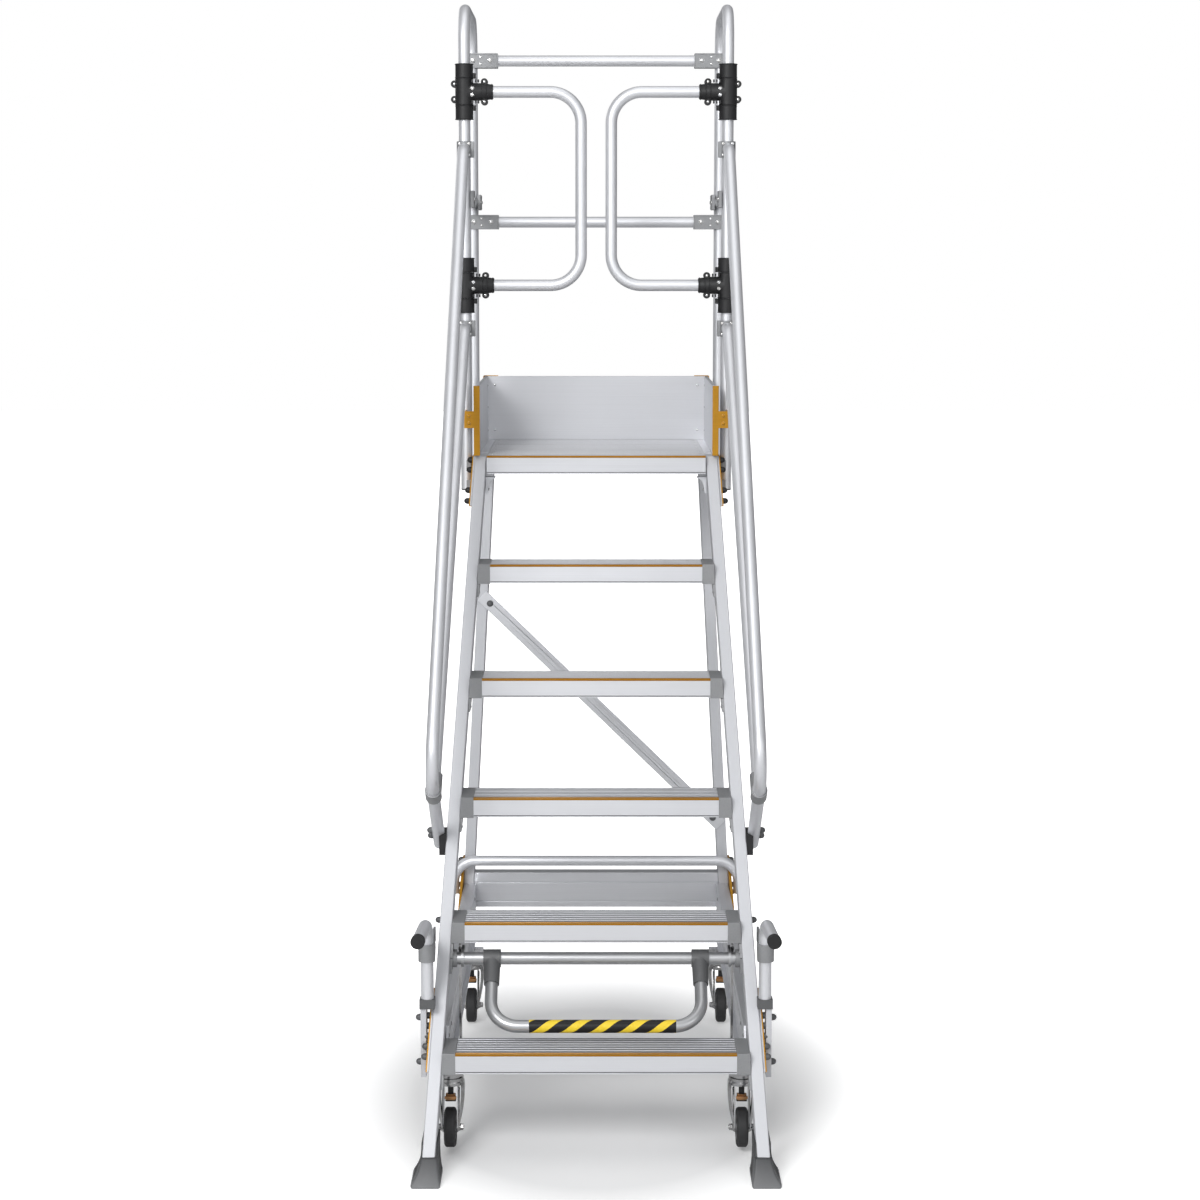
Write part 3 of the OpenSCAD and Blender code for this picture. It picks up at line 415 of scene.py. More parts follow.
def rounded(w, h, r, steps=5):
    """Rounded rectangle outline centred on the origin."""
    points = []
    for cx, cy, start in ((w / 2 - r, h / 2 - r, 0), (-w / 2 + r, h / 2 - r, 90),
                          (-w / 2 + r, -h / 2 + r, 180), (w / 2 - r, -h / 2 + r, 270)):
        for i in range(steps + 1):
            a = math.radians(start + 90 * i / steps)
            points.append((cx + r * math.cos(a), cy + r * math.sin(a)))
    return points


def hexagon(across):
    r = across / math.sqrt(3)
    return [(r * math.cos(math.radians(60 * i)), r * math.sin(math.radians(60 * i))) for i in range(6)]


def stile_x(z):
    """Middle of a stile or rear leg at a height, on the right side."""
    return STILE_X + (DECK_Z - z) * math.tan(SPLAY)


def side_frame(side, y, z, x):
    """Point in the leaning side frame: x across it outboard, y and z as in the frame."""
    along = (z - DECK_Z) / math.cos(SPLAY)
    px = STILE_X + x * math.cos(SPLAY) - along * math.sin(SPLAY)
    pz = DECK_Z + x * math.sin(SPLAY) + along * math.cos(SPLAY)
    return Vector((side * px, y, pz))


def side_normal(side):
    return Vector((side * math.cos(SPLAY), 0, math.sin(SPLAY)))


def stile_front(z):
    """y of the stiles' front face at a height."""
    return NOSE_Y + 0.030 - (DECK_Z - z) * GOING / RISE


def toward(side, x, y, z):
    """Point on the given side of the middle plane."""
    return Vector((side * x, y, z))


# ---------------------------------------------------------------- CAD nodes

def finish_cad(o, material, bevel):
    """Gives a CAD node its material, and either soft edges or sharp creases."""
    mesh = o.data
    bpy.context.view_layer.objects.active = o
    o.select_set(True)
    if mesh.has_custom_normals:
        bpy.ops.mesh.customdata_custom_splitnormals_clear()
    o.select_set(False)
    weld = o.modifiers.new("weld", "WELD")
    weld.merge_threshold = SAME_SPOT
    mesh.materials.clear()
    mesh.materials.append(material)
    for p in mesh.polygons:
        p.use_smooth = True
    if bevel:
        soften(o, bevel)
    else:
        edge = o.modifiers.new("crease", "EDGE_SPLIT")
        edge.split_angle = CREASE_ANGLE
        edge.use_edge_sharp = False


# Material and edge softening of each CAD node, by the longest matching start of its name
LOOKS = {
    "stile_": (MAT_ALONG_Z_SHADED, 0.0035), "rear_leg_": (MAT_ALONG_Z_SHADED, 0.0030), "step_brackets": (MAT_CAST, 0.0022),
    "step_": (MAT_TREAD, 0.0006), "nosing_strips": (MAT_STRIP, 0.0004), "platform_deck": (MAT_TREAD, 0.0006),
    "platform_frame": (MAT_ALONG_X, 0.0012), "toe_board_trims": (MAT_ORANGE, 0.0010),
    "toe_board_": (MAT_BOARD, 0.0010), "gusset_plates": (MAT_ORANGE, 0.0012),
    "diagonal_brace": (MAT_ALONG_X, 0.0010),
    "base_beam_": (MAT_ALONG_Y, 0.0010), "back_beam": (MAT_ALONG_X, 0.0010), "back_handle": (MAT_TUBE, 0.0),
    "guard_loop_": (MAT_TUBE, 0.0), "guard_rails": (MAT_TUBE, 0.0), "rail_clamps": (MAT_CAST_LIGHT, 0.0012),
    "handrail_": (MAT_TUBE, 0.0), "mid_handrails": (MAT_TUBE, 0.0), "joint_castings": (MAT_CAST, 0.0016),
    "rubber_feet": (MAT_FOOT, 0.0025), "side_handles": (MAT_TUBE, 0.0), "handle_caps": (MAT_BLACK, 0.0012),
    "cap_bolts": (MAT_DARK_CAP, 0.0006), "hinge_sleeves": (MAT_BLACK, 0.0012), "shaft_flanges": (MAT_CAST, 0.0012),
    "castor_mounts": (MAT_CASTOR, 0.0012), "gate_hubs_": (MAT_BLACK, 0.0014), "gate_": (MAT_TUBE, 0.0),
    "lock_shaft": (MAT_STEEL, 0.0), "foot_bar": (MAT_STEEL, 0.0), "bar_sockets": (MAT_CAST_DARK, 0.0016),
    "castor_carrier_": (MAT_CASTOR, 0.0012), "fork_": (MAT_CASTOR, 0.0010),
    "tyre_": (MAT_TYRE, 0.0020), "hub_": (MAT_HUB, 0.0010),
}

BAR_ANGLE = math.radians(44)
SHAFT_Y, SHAFT_Z = -0.750 + NOSE_Y, 0.468
BAR_REACH = 0.195
MAT_TAPE = tape("hazard_tape", 0.0725, 1.30, SHAFT_Y - math.cos(BAR_ANGLE) * BAR_REACH,
                SHAFT_Z - math.sin(BAR_ANGLE) * BAR_REACH)
LOOKS["hazard_tape"] = (MAT_TAPE, 0.0)

for node_name, node in NODES.items():
    key = max((k for k in LOOKS if node_name.startswith(k)), key=len)
    finish_cad(node, *LOOKS[key])


def paint_region(node_name, material, inside):
    """Another material for the faces whose middle passes the test of abs(x), y behind the deck's front, and z."""
    mesh = NODES[node_name].data
    mesh.materials.append(material)
    index = len(mesh.materials) - 1
    for p in mesh.polygons:
        c = p.center
        if inside(abs(c.x), c.y - NOSE_Y, c.z):
            p.material_index = index


# Black caps at the platform, spacer blocks at the hand rails' ends, the side handles' sockets and lower boxes
paint_region("cap_bolts", MAT_BLACK, lambda x, y, z: z > 1.5)
paint_region("joint_castings", MAT_BLACK, lambda x, y, z: 0.700 < z < 0.765 and y < -0.52)
paint_region("joint_castings", MAT_CAST_DARK, lambda x, y, z: 0.386 < z < 0.420 and y < -0.80)
paint_region("joint_castings", MAT_ALONG_Z_SHADED, lambda x, y, z: z <= 0.386 and y < -0.80)


# ---------------------------------------------------------------- fixings

def dome(bm, origin, axis, r, h, steps=20):
    """Domed cap on a thin flange."""
    lathe(bm, [(0, h), (r * 0.35, h * 0.97), (r * 0.62, h * 0.84), (r * 0.82, h * 0.60), (r * 0.90, h * 0.30),
               (r * 0.92, h * 0.16), (r, h * 0.14), (r, 0), (0, 0)], basis(origin, axis), steps)


def socket_screw(bm, origin, axis, r, h, steps=20):
    """Cap screw on a washer, with a round socket."""
    lathe(bm, [(0, h * 0.42), (r * 0.44, h * 0.42), (r * 0.48, h * 0.96), (r * 0.58, h), (r * 0.84, h * 0.94),
               (r, h * 0.72), (r, h * 0.12), (r * 1.25, h * 0.12), (r * 1.25, 0), (0, 0)],
          basis(origin, axis), steps)


def hex_nut(bm, origin, axis, across, h):
    """Nut with the bolt's end showing, on a washer."""
    washer_r, washer_h = across * 0.68, 0.0009
    m = basis(origin, axis)
    lathe(bm, [(0, washer_h), (washer_r - 0.0003, washer_h), (washer_r, washer_h - 0.0003), (washer_r, 0), (0, 0)],
          m, 24)
    lift = m @ Matrix.Translation((0, 0, washer_h))
    prism(bm, hexagon(across), lift, h * 0.8)
    lathe(bm, [(0, h), (across * 0.30, h), (across * 0.34, h * 0.9), (across * 0.34, h * 0.6), (0, h * 0.6)],
          lift, 16)


# Heights of the gates' hinges, of the rear rails and of the knee rails
GATE_HEIGHTS = (DECK_Z + 1.001, DECK_Z + 0.470)
RAIL_HEIGHTS = (DECK_Z + 1.120, DECK_Z + 0.651)
KNEE_Z = DECK_Z + 0.708
CLAMP_WALL = 0.004
# Screws through each gate hinge's lugs, from the post's axis and the hinge's height
LUG_SCREWS = ((0.027, 0.021), (0.027, -0.021), (-0.056, 0.027), (-0.056, -0.027))
LUG_HALF = 0.008


def hinge_details(side, word):
    """Screws, bosses and rims on the gate's hinge hubs, and rims on the fixed sleeves that they turn between."""
    body = f"gate_{word}_body"
    bm = bmesh.new()
    for zc in GATE_HEIGHTS:
        for dx, dz in LUG_SCREWS:
            x = POST_X + dx
            dome(bm, toward(side, x, FRONT_POST_Y - LUG_HALF, zc + dz), (0, -1, 0), 0.0056, 0.0056)
            hex_nut(bm, toward(side, x, FRONT_POST_Y + LUG_HALF, zc + dz), (0, 1, 0), 0.0080, 0.0060)
        for dz in (-0.008, 0.008):
            socket_screw(bm, toward(side, POST_X - 0.023, FRONT_POST_Y - 0.0222, zc + dz), (0, -1, 0),
                         0.0042, 0.0036)
            hex_nut(bm, toward(side, POST_X - 0.036, FRONT_POST_Y + 0.0222, zc + dz * 1.6), (0, 1, 0),
                    0.0080, 0.0040)
    make(f"hinge_screws_{word}", bm, MAT_CHROME, body)

    # Round bosses for the screws, rims on the collars, and short ribs above and below the lugs
    bm = bmesh.new()
    for zc in GATE_HEIGHTS:
        for dx, dz in LUG_SCREWS:
            lathe(bm, [(0.0054, 0), (0.0090, 0), (0.0097, 0.0008), (0.0097, 0.0202), (0.0090, 0.0210),
                       (0.0054, 0.0210)],
                  basis(toward(side, POST_X + dx, FRONT_POST_Y + 0.0105, zc + dz), (0, -1, 0)), 28, closed=True)
        for x, r, w in ((0.2868, 0.0212, 0.0036), (0.3020, 0.0236, 0.0024), (0.3150, 0.0250, 0.0028)):
            lathe(bm, [(r - 0.004, 0), (r, 0.0004), (r + 0.0008, w * 0.3), (r + 0.0008, w * 0.7), (r, w - 0.0004),
                       (r - 0.004, w)], basis(toward(side, x, FRONT_POST_Y, zc), (side, 0, 0)), 36, closed=True)
        for dz in (-0.0352, 0.0332):
            lathe(bm, [(0.0230, 0), (0.0252, 0.0002), (0.0258, 0.0008), (0.0252, 0.0016), (0.0230, 0.0018)],
                  basis(toward(side, POST_X, FRONT_POST_Y, zc + dz), (0, 0, 1)), 40, closed=True)
        for dz in (-1, 1):
            for x in (0.342, 0.3325, 0.3245):
                prism(bm, rounded(0.0040, 0.0085, 0.0012, 2),
                      basis(toward(side, x, FRONT_POST_Y - 0.0185, zc + dz * 0.0285), (0, -1, 0)), 0.0062)
    make(f"hinge_rims_{word}", bm, MAT_BLACK, body)

    # Fixed sleeves: end rims, moulded seams and small ribs on their lugs
    bm = bmesh.new()
    for zc in GATE_HEIGHTS:
        for up in (-1, 1):
            near, far = zc + up * 0.0372, zc + up * 0.0764
            for z, r in ((near, 0.0252), (far - up * 0.0030, 0.0255)):
                lathe(bm, [(0.0235, 0), (r, 0.0003), (r + 0.0005, 0.0012), (r, 0.0024), (0.0235, 0.0027)],
                      basis(toward(side, POST_X, FRONT_POST_Y, z), (0, 0, up)), 40, closed=True)
            for turn in (28, 90, 152, 270):
                a = math.radians(turn)
                way = Vector((side * math.cos(a), -math.sin(a), 0))
                prism(bm, rounded(0.0022, 0.0330, 0.0008, 2),
                      basis(Vector((side * POST_X, FRONT_POST_Y, (near + far) / 2)) + way * 0.0240, way), 0.0013)
            for x in (0.3385, 0.3335):
                prism(bm, rounded(0.0030, 0.0130, 0.0010, 2),
                      basis(toward(side, x, FRONT_POST_Y - 0.0068, zc + up * 0.0430), (0, -1, 0)), 0.0028)
    make(f"sleeve_rims_{word}", bm, MAT_BLACK, "base")


def rail_fixings(side, word):
    """Rivets and screws of the rails' connector plates, the knee rail's end blocks and the hand rail clamps."""
    bm = bmesh.new()
    for z in RAIL_HEIGHTS:
        for y, way in ((REAR_POST_Y - TUBE_R - CLAMP_WALL, -1), (REAR_POST_Y + TUBE_R + CLAMP_WALL, 1)):
            for x in (0.361, 0.311):
                dome(bm, toward(side, x, y, z), (0, way, 0), 0.0068, 0.0038)
            for dz in (-0.010, 0.010):
                dome(bm, toward(side, 0.339, y, z + dz), (0, way, 0), 0.0036, 0.0020, 14)
    block_x = POST_X - TUBE_R - 0.009
    for y in (FRONT_POST_Y + 0.004, FRONT_POST_Y + 0.044, REAR_POST_Y - 0.044, REAR_POST_Y - 0.004):
        dome(bm, toward(side, block_x, y, KNEE_Z), (-side, 0, 0), 0.0062, 0.0040)
    for z in (DECK_Z + 0.844, DECK_Z + 0.350):
        for dx in (-0.0125, 0.0125):
            for dz in (-0.0155, 0.0155):
                drop = math.sqrt(0.022 ** 2 - dx ** 2)
                socket_screw(bm, toward(side, POST_X + dx, FRONT_POST_Y - drop + 0.001, z + dz), (0, -1, 0),
                             0.0034, 0.0034, 16)
    make(f"rail_screws_{word}", bm, MAT_CHROME, "base")

    # Raised borders pressed into the connector plates
    bm = bmesh.new()
    for z in RAIL_HEIGHTS:
        y = REAR_POST_Y - TUBE_R - CLAMP_WALL + 0.0004
        for dz in (-0.0195, 0.0195):
            prism(bm, rounded(0.0780, 0.0030, 0.0012, 2), basis(toward(side, 0.330, y, z + dz), (0, -1, 0)), 0.0020)
        prism(bm, rounded(0.0030, 0.0380, 0.0012, 2), basis(toward(side, 0.2905, y, z), (0, -1, 0)), 0.0020)
    # Crossed ribs on the knee rail's rear block
    block = basis(toward(side, block_x + 0.0003, REAR_POST_Y - 0.0225, KNEE_Z), (-side, 0, 0))
    for angle in (-0.62, 0.62):
        prism(bm, rounded(0.0036, 0.0480, 0.0012, 2), block @ Matrix.Rotation(angle, 4, "Z"), 0.0026)
    make(f"rail_plate_ribs_{word}", bm, MAT_CAST_LIGHT, "base", bevel=0.0003)


def tube_plugs(side, word):
    """Plastic plugs in the open lower ends of the guard posts."""
    bm = bmesh.new()
    for y in (FRONT_POST_Y, REAR_POST_Y):
        z = DECK_Z - 0.100
        lathe(bm, [(0, 0.020), (0.0128, 0.020), (0.0128, 0.0), (0.0160, 0.0), (0.0163, -0.0010), (0.0150, -0.0036),
                   (0.0100, -0.0044), (0, -0.0046)], basis(toward(side, POST_X, y, z), (0, 0, 1)), 32)
    make(f"post_plugs_{word}", bm, MAT_BLACK, "base")


def deck_fixings():
    """Countersunk screws along both ends of the planks, and rivets of the toe boards."""
    bm = bmesh.new()
    for side, _ in SIDES:
        for y in (0.080, 0.180, 0.300, 0.380, 0.500, 0.585):
            p = toward(side, 0.292, y + NOSE_Y - 0.0035, DECK_Z - 0.0004)
            lathe(bm, [(0, 0.0002), (0.0014, 0.0002), (0.0018, 0.0009), (0.0044, 0.0009), (0.0046, 0.0004),
                       (0.0046, 0)], basis(p, (0, 0, 1)), 16)
        for z in (0.030, 0.100, 0.165):
            for y in (0.030, 0.605):
                dome(bm, toward(side, 0.3265, y + NOSE_Y, DECK_Z + z), (-side, 0, 0), 0.0034, 0.0016, 14)
        for z in (0.030, 0.165):
            dome(bm, toward(side, 0.306, 0.6302 + NOSE_Y, DECK_Z + z), (0, -1, 0), 0.0034, 0.0016, 14)
    make("deck_screws", bm, MAT_CHROME, "base")


def strap_bolts(side, word):
    """Bolts of the toe board straps."""
    bm = bmesh.new()
    for z in (0.090, 0.111):
        dome(bm, toward(side, 0.3535, 0.005 + NOSE_Y, DECK_Z + z), (0, -1, 0), 0.0052, 0.0040)
    make(f"strap_bolts_{word}", bm, MAT_ORANGE, "base")


def brace_bolts():
    """A bolt at each end of the diagonal brace, just inside the leg."""
    leg_front = 0.640
    bm = bmesh.new()
    for side, z in ((LEFT, 1.190), (RIGHT, 0.520)):
        inner = stile_x(z) - STILE_W / 2 / math.cos(SPLAY)
        px = side * (inner - 0.008)
        dome(bm, (px, leg_front - 0.005 + NOSE_Y, z), (0, -1, 0), 0.0100, 0.0095)
        hex_nut(bm, (px, leg_front - 0.0005 + NOSE_Y, z), (0, 1, 0), 0.0130, 0.0080)
    make("brace_bolts", bm, MAT_DARK_CAP, "base")


def beam_plugs(side, word):
    """Small plugs in the beams' inner skins."""
    bm = bmesh.new()
    for y, z in ((-0.800, 0.281), (-0.700, 0.281), (0.380, 0.281), (0.560, 0.281)):
        dome(bm, toward(side, 0.374, y + NOSE_Y, z), (-side, 0, 0), 0.0058, 0.0016, 18)
    make(f"beam_plugs_{word}", bm, MAT_DARK_CAP, "base")


def bracket_screws(side, word):
    """A screw in the under-ear of each tread bracket."""
    bm = bmesh.new()
    for n in range(1, 6):
        z = RISE * n - TREAD_H - 0.022
        y = stile_front(z) + 0.012
        p = side_frame(side, y, z, -0.022)
        dome(bm, p, -side_normal(side), 0.0048, 0.0030, 16)
    make(f"bracket_screws_{word}", bm, MAT_CAST_LIGHT, "base")


# ---------------------------------------------------------------- castors

# Kingpins, and how far each pair of castors is lifted while the stand is parked
KING_Y = {"front": -0.830 + NOSE_Y, "rear": 0.252 + NOSE_Y}
LIFT = {"front": 0.012, "rear": 0.0}
CASTOR_X = 0.368
TRAIL = 0.035
CROWN_Z = 0.1716
LEG_FACE_X = 0.0196


def castor_details(side, word, end):
    """Details of one castor: cx and ky are its kingpin, ay and az its axle."""
    cx, ky, lift = side * CASTOR_X, KING_Y[end], LIFT[end]
    ay, az = ky - TRAIL, WHEEL_R + lift
    swivel, wheel = f"swivel_{end}_{word}", f"wheel_{end}_{word}"

    # Pressed steel crown over the ball race, and rivets on the fork's legs
    bm = bmesh.new()
    top = CROWN_Z + lift
    lathe(bm, [(0.0150, top - 0.0004), (0.0230, top - 0.0006), (0.0300, top - 0.0035), (0.0330, top - 0.0085),
               (0.0338, top - 0.0150), (0.0330, top - 0.0175), (0.0318, top - 0.0165), (0.0310, top - 0.0090)],
          basis((cx, ky, 0), (0, 0, 1)), 40)
    for s in (-1, 1):
        for dy, dz, r in ((0.0, 0.150, 0.0042), (0.012, 0.147, 0.0030), (-0.016, 0.144, 0.0030)):
            dome(bm, (cx + s * LEG_FACE_X, ky + dy, dz + lift), (s, 0, 0), r, 0.0022, 16)
        # Stiffening bead along the leg
        m, length = from_to(Vector((cx + s * LEG_FACE_X, ky + 0.002, 0.140 + lift)),
                            Vector((cx + s * LEG_FACE_X, ay + 0.004, az + 0.022)))
        lathe(bm, [(0, -0.004), (0.0022, -0.002), (0.0027, 0.0), (0.0027, length), (0.0020, length + 0.002),
                   (0, length + 0.003)], m, 12)
    # Flared cheeks: pressed channels that bow out from the crown and come back in at the axle.
    # Each row is its outer face from the middle, its height, half its width, and how far it trails.
    cheek = ((0.0200, 0.1690, 0.0240, 0.0), (0.0285, 0.1665, 0.0235, 0.0), (0.0335, 0.1590, 0.0225, -0.001),
             (0.0350, 0.1450, 0.0205, -0.004), (0.0345, 0.1200, 0.0180, -0.012), (0.0320, 0.0960, 0.0155, -0.021),
             (0.0275, 0.0740, 0.0135, -0.029), (0.0240, 0.0600, 0.0120, -0.034), (0.0235, 0.0420, 0.0100, -0.035))
    for s in (-1, 1):
        rings = []
        for dx, dz, half, dy in cheek:
            fold = min(0.0085, dx - 0.0202)
            rim = 0.75 * fold
            section = ((-fold, -half), (0, rim - half), (0, half - rim), (-fold, half),
                       (-fold, half - 0.0017), (-0.0015, half - rim - 0.0008), (-0.0015, rim + 0.0008 - half),
                       (-fold, 0.0017 - half))
            rings.append([bm.verts.new((cx + s * (dx + ox), ky + dy + oy, dz + lift)) for ox, oy in section])
        join_rings(bm, rings)
        bm.faces.new(rings[0])
        bm.faces.new(rings[-1])
    # Axle bolt and nut
    for s in (-1, 1):
        hex_nut(bm, (cx + s * 0.0252, ay, az), (s, 0, 0), 0.0140, 0.0080)
    make(f"castor_crown_{end}_{word}", bm, MAT_CASTOR, swivel)

    # Wheel brake: brown block over the tyre and a pressed plate above it, on a black strut
    def upright(ahead, low):
        """Matrix on the kingpin's line, moved ahead, at a height over the floor the wheel stands on."""
        return basis((cx, ky - ahead, low + lift), (0, 0, 1), (0, 1, 0))

    bm = bmesh.new()
    prism(bm, rounded(0.0250, 0.0150, 0.0025, 3), upright(0.018, 0.1165), 0.0150)
    prism(bm, rounded(0.0300, 0.0050, 0.0015, 3), upright(0.030, 0.1215), 0.0070)
    make(f"castor_brake_{end}_{word}", bm, MAT_BRASS, swivel, bevel=0.0008)
    bm = bmesh.new()
    prism(bm, rounded(0.0140, 0.0110, 0.0020, 3), upright(0.014, 0.1310), 0.0290)
    prism(bm, rounded(0.0270, 0.0170, 0.0025, 3), upright(0.016, 0.1130), 0.0036)
    make(f"castor_strut_{end}_{word}", bm, MAT_BLACK, swivel, bevel=0.0006)

    # Hub face: rim, five ribs and a bearing cap on each side of the wheel
    bm = bmesh.new()
    for s in (-1, 1):
        m = basis((cx, ay, az), (s, 0, 0))
        lathe(bm, [(0.0270, 0.0108), (0.0285, 0.0128), (0.0335, 0.0132), (0.0350, 0.0124), (0.0350, 0.0106)],
              m, 48)
        lathe(bm, [(0.0060, 0.0157), (0.0098, 0.0157), (0.0112, 0.0150), (0.0118, 0.0118), (0.0132, 0.0108)],
              m, 32)
        for i in range(5):
            a = 2 * math.pi * i / 5
            rib = m @ Matrix.Rotation(a, 4, "Z") @ Matrix.Translation((0.0200, 0, 0.0100))
            prism(bm, rounded(0.0180, 0.0036, 0.0010, 2), rib, 0.0026)
    make(f"wheel_face_{end}_{word}", bm, MAT_HUB, wheel)

    # Fine moulded lines on both walls of the tyre
    bm = bmesh.new()
    for s in (-1, 1):
        m = basis((cx, ay, az), (s, 0, 0))
        for r in (0.0385, 0.0425):
            lathe(bm, [(r, 0.0139), (r + 0.0002, 0.0146), (r + 0.0010, 0.0146), (r + 0.0012, 0.0139)], m, 56)
    make(f"tyre_lines_{end}_{word}", bm, MAT_TYRE, wheel)


# ---------------------------------------------------------------- feet

# Front foot: half its width at the top, the inner and outer x of its sole. Both feet: play round the tube
FOOT_GRIP = 0.0205
SOLE_X = (0.379, 0.451)
FOOT_FIT = 0.0006


def foot_widths(z):
    """Inner and outer x of the front foot at a height: close to the stile at the top, flared at the sole."""
    sole_top, flare_h, flare_power = 0.007, 0.060, 2.2
    inner_draft, inner_gain = 0.02, 0.0017
    top_x = stile_x(FOOT_H)
    t = min(1.0, max(0.0, (z - sole_top) / flare_h))
    ease = (1 - t) ** flare_power
    x_out = top_x + FOOT_GRIP + (SOLE_X[1] - top_x - FOOT_GRIP) * ease
    x_in = top_x - FOOT_GRIP - (FOOT_H - z) * inner_draft + (SOLE_X[0] - top_x + FOOT_GRIP + inner_gain) * ease
    return x_in, x_out


def foot_flank(side, flank, z, k, out):
    """Point on a flank of the front foot: k runs from its front to its back, out stands proud of it."""
    x_in, x_out = foot_widths(z)
    x = x_in - out if flank < 0 else x_out + out
    return Vector((side * x, stile_front(z) - FOOT_WALL + k * (STILE_DEPTH + 2 * FOOT_WALL), z))


def front_foot(side, word):
    """Flared rubber boot on the stile's foot, with a framed triangular recess on each flank, whose shade is painted
    as a black inset.
    """
    front_wall_top = 0.061
    edge_trims = {0.0: 0.0014, FOOT_H: 0.0012}
    levels = [0.0, 0.0035, 0.007, 0.014, 0.024, 0.036, 0.050, 0.0600, 0.0622, 0.070, 0.080, 0.0885, FOOT_H]
    bm = bmesh.new()
    rings = []
    for z in levels:
        x_in, x_out = foot_widths(z)
        # The front wall stops low, so that the stile's face shows between the two flanks
        front = stile_front(z) + (0.004 if z > front_wall_top else -FOOT_WALL)
        back = stile_front(z) + STILE_DEPTH + FOOT_WALL
        trim = edge_trims.get(z, 0.0)
        rings.append([bm.verts.new((side * ((x_out + x_in) / 2 + px), (front + back) / 2 + py, z))
                      for px, py in rounded(x_out - x_in - 2 * trim, back - front - 2 * trim, 0.006, 4)])
    # Open top with a lip that goes down round the stile, its front edge hidden in the stile
    lip_front = 0.0060
    for z in (FOOT_H, FOOT_H - 0.0040):
        w, d = STILE_W / math.cos(SPLAY) + FOOT_FIT, STILE_DEPTH - lip_front + FOOT_FIT / 2
        rings.append([bm.verts.new((side * (stile_x(z) + px), stile_front(z) + lip_front + d / 2 + py, z))
                      for px, py in rounded(w, d, 0.0035, 4)])
    join_rings(bm, rings)
    bm.faces.new(rings[0][::-1])
    bm.faces.new(rings[-1])
    # Triangular frames raised on both flanks, with a black inset inside each as the painted shade of the recess:
    # corners are height and depth share
    base_z, peak_z = 0.012, 0.074
    corners = ((base_z, 0.12), (base_z, 0.88), (peak_z, 0.50))
    frame_r, bits = 0.0019, 8
    recess_half, recess_h = 0.345, 0.064
    recess = bmesh.new()
    for flank in (-1, 1):
        for (za, ka), (zb, kb) in zip(corners, corners[1:] + corners[:1]):
            line = [foot_flank(side, flank, za + (zb - za) * i / bits, ka + (kb - ka) * i / bits, 0.0)
                    for i in range(bits + 1)]
            for a, b in zip(line, line[1:]):
                m, length = from_to(a, b)
                lathe(bm, [(0, -0.0006), (frame_r, 0), (frame_r, length), (0, length + 0.0006)], m, 10)
        # Painted shade: a thin black slab stands in the recess
        rings = []
        for z in [0.0145 + 0.0045 * i for i in range(13)]:
            half = recess_half * (1 - (z - base_z) / recess_h)
            rings.append([recess.verts.new(foot_flank(side, flank, z, 0.5 + k * half, out))
                          for k, out in ((-1, 0.0005), (1, 0.0005), (1, -0.0010), (-1, -0.0010))])
        join_rings(recess, rings)
        recess.faces.new(rings[0])
        recess.faces.new(rings[-1])
    make(f"foot_boot_{word}", bm, MAT_FOOT, "base")
    make(f"foot_recess_shade_{word}", recess, MAT_BLACK, "base")


def corner_hooks(side, word):
    """Cast corner bracket under the platform's front edge, on the stile's inner face, with its bolts."""
    arm, drop, depth = 0.027, 0.0465, 0.0265
    top_t, back_t, rib_t = 0.0040, 0.0036, 0.0045
    below = 0.0605
    x, y, z = STILE_X - STILE_W / 2 + below * math.tan(SPLAY), 0.034 + NOSE_Y, DECK_Z - below
    y_mid = y + 0.0090
    bm = bmesh.new()
    outline = [(0.0, 0.0), (arm, 0.0), (arm, -top_t), (0.020, -0.0065), (0.0125, -0.014), (0.0082, -0.026),
               (0.0074, -0.040), (0.0050, -drop), (0.0, -drop)]
    for dy in (0.0, 0.022):
        prism(bm, [(-side * a, b) for a, b in outline],
              Matrix.Translation((side * x, y + dy, z)) @ Matrix.Rotation(math.radians(90), 4, "X"), rib_t)
    prism(bm, rounded(arm, depth, 0.002, 3), Matrix.Translation((side * (x - arm / 2), y_mid, z - top_t)), top_t)
    prism(bm, rounded(drop, depth, 0.002, 3), basis((side * x, y_mid, z - 0.0233), (-side, 0, 0), (0, 1, 0)), back_t)
    make(f"corner_hook_{word}", bm, MAT_ALONG_X, "base", bevel=0.0006)
    bm = bmesh.new()
    for dz in (-0.018, -0.036):
        hex_nut(bm, (side * (x - back_t), y_mid, z + dz), (-side, 0, 0), 0.0080, 0.0060)
    dome(bm, (side * (x - 0.018), y_mid, z - top_t), (0, 0, -1), 0.0046, 0.0040, 16)
    make(f"corner_bolts_{word}", bm, MAT_CHROME, "base")


def gusset_edges(side, word):
    """Thin pale packing strips between the stiles and the gussets, flush with the gussets' front edges."""
    behind, outboard = 0.0094, 0.0183
    bm = bmesh.new()
    for top, low in ((0.394, 0.234), (1.687, 1.557)):
        a, b = (side_frame(side, stile_front(z) + behind, z, outboard) for z in (top, low))
        way = b - a
        m = Matrix.Translation(a) @ basis((0, 0, 0), way, (side, 0, 0)).to_3x3().to_4x4()
        prism(bm, rounded(0.0018, 0.0044, 0.0006, 2), m, way.length)
    make(f"gusset_edges_{word}", bm, MAT_ALONG_Z_SHADED, "base")


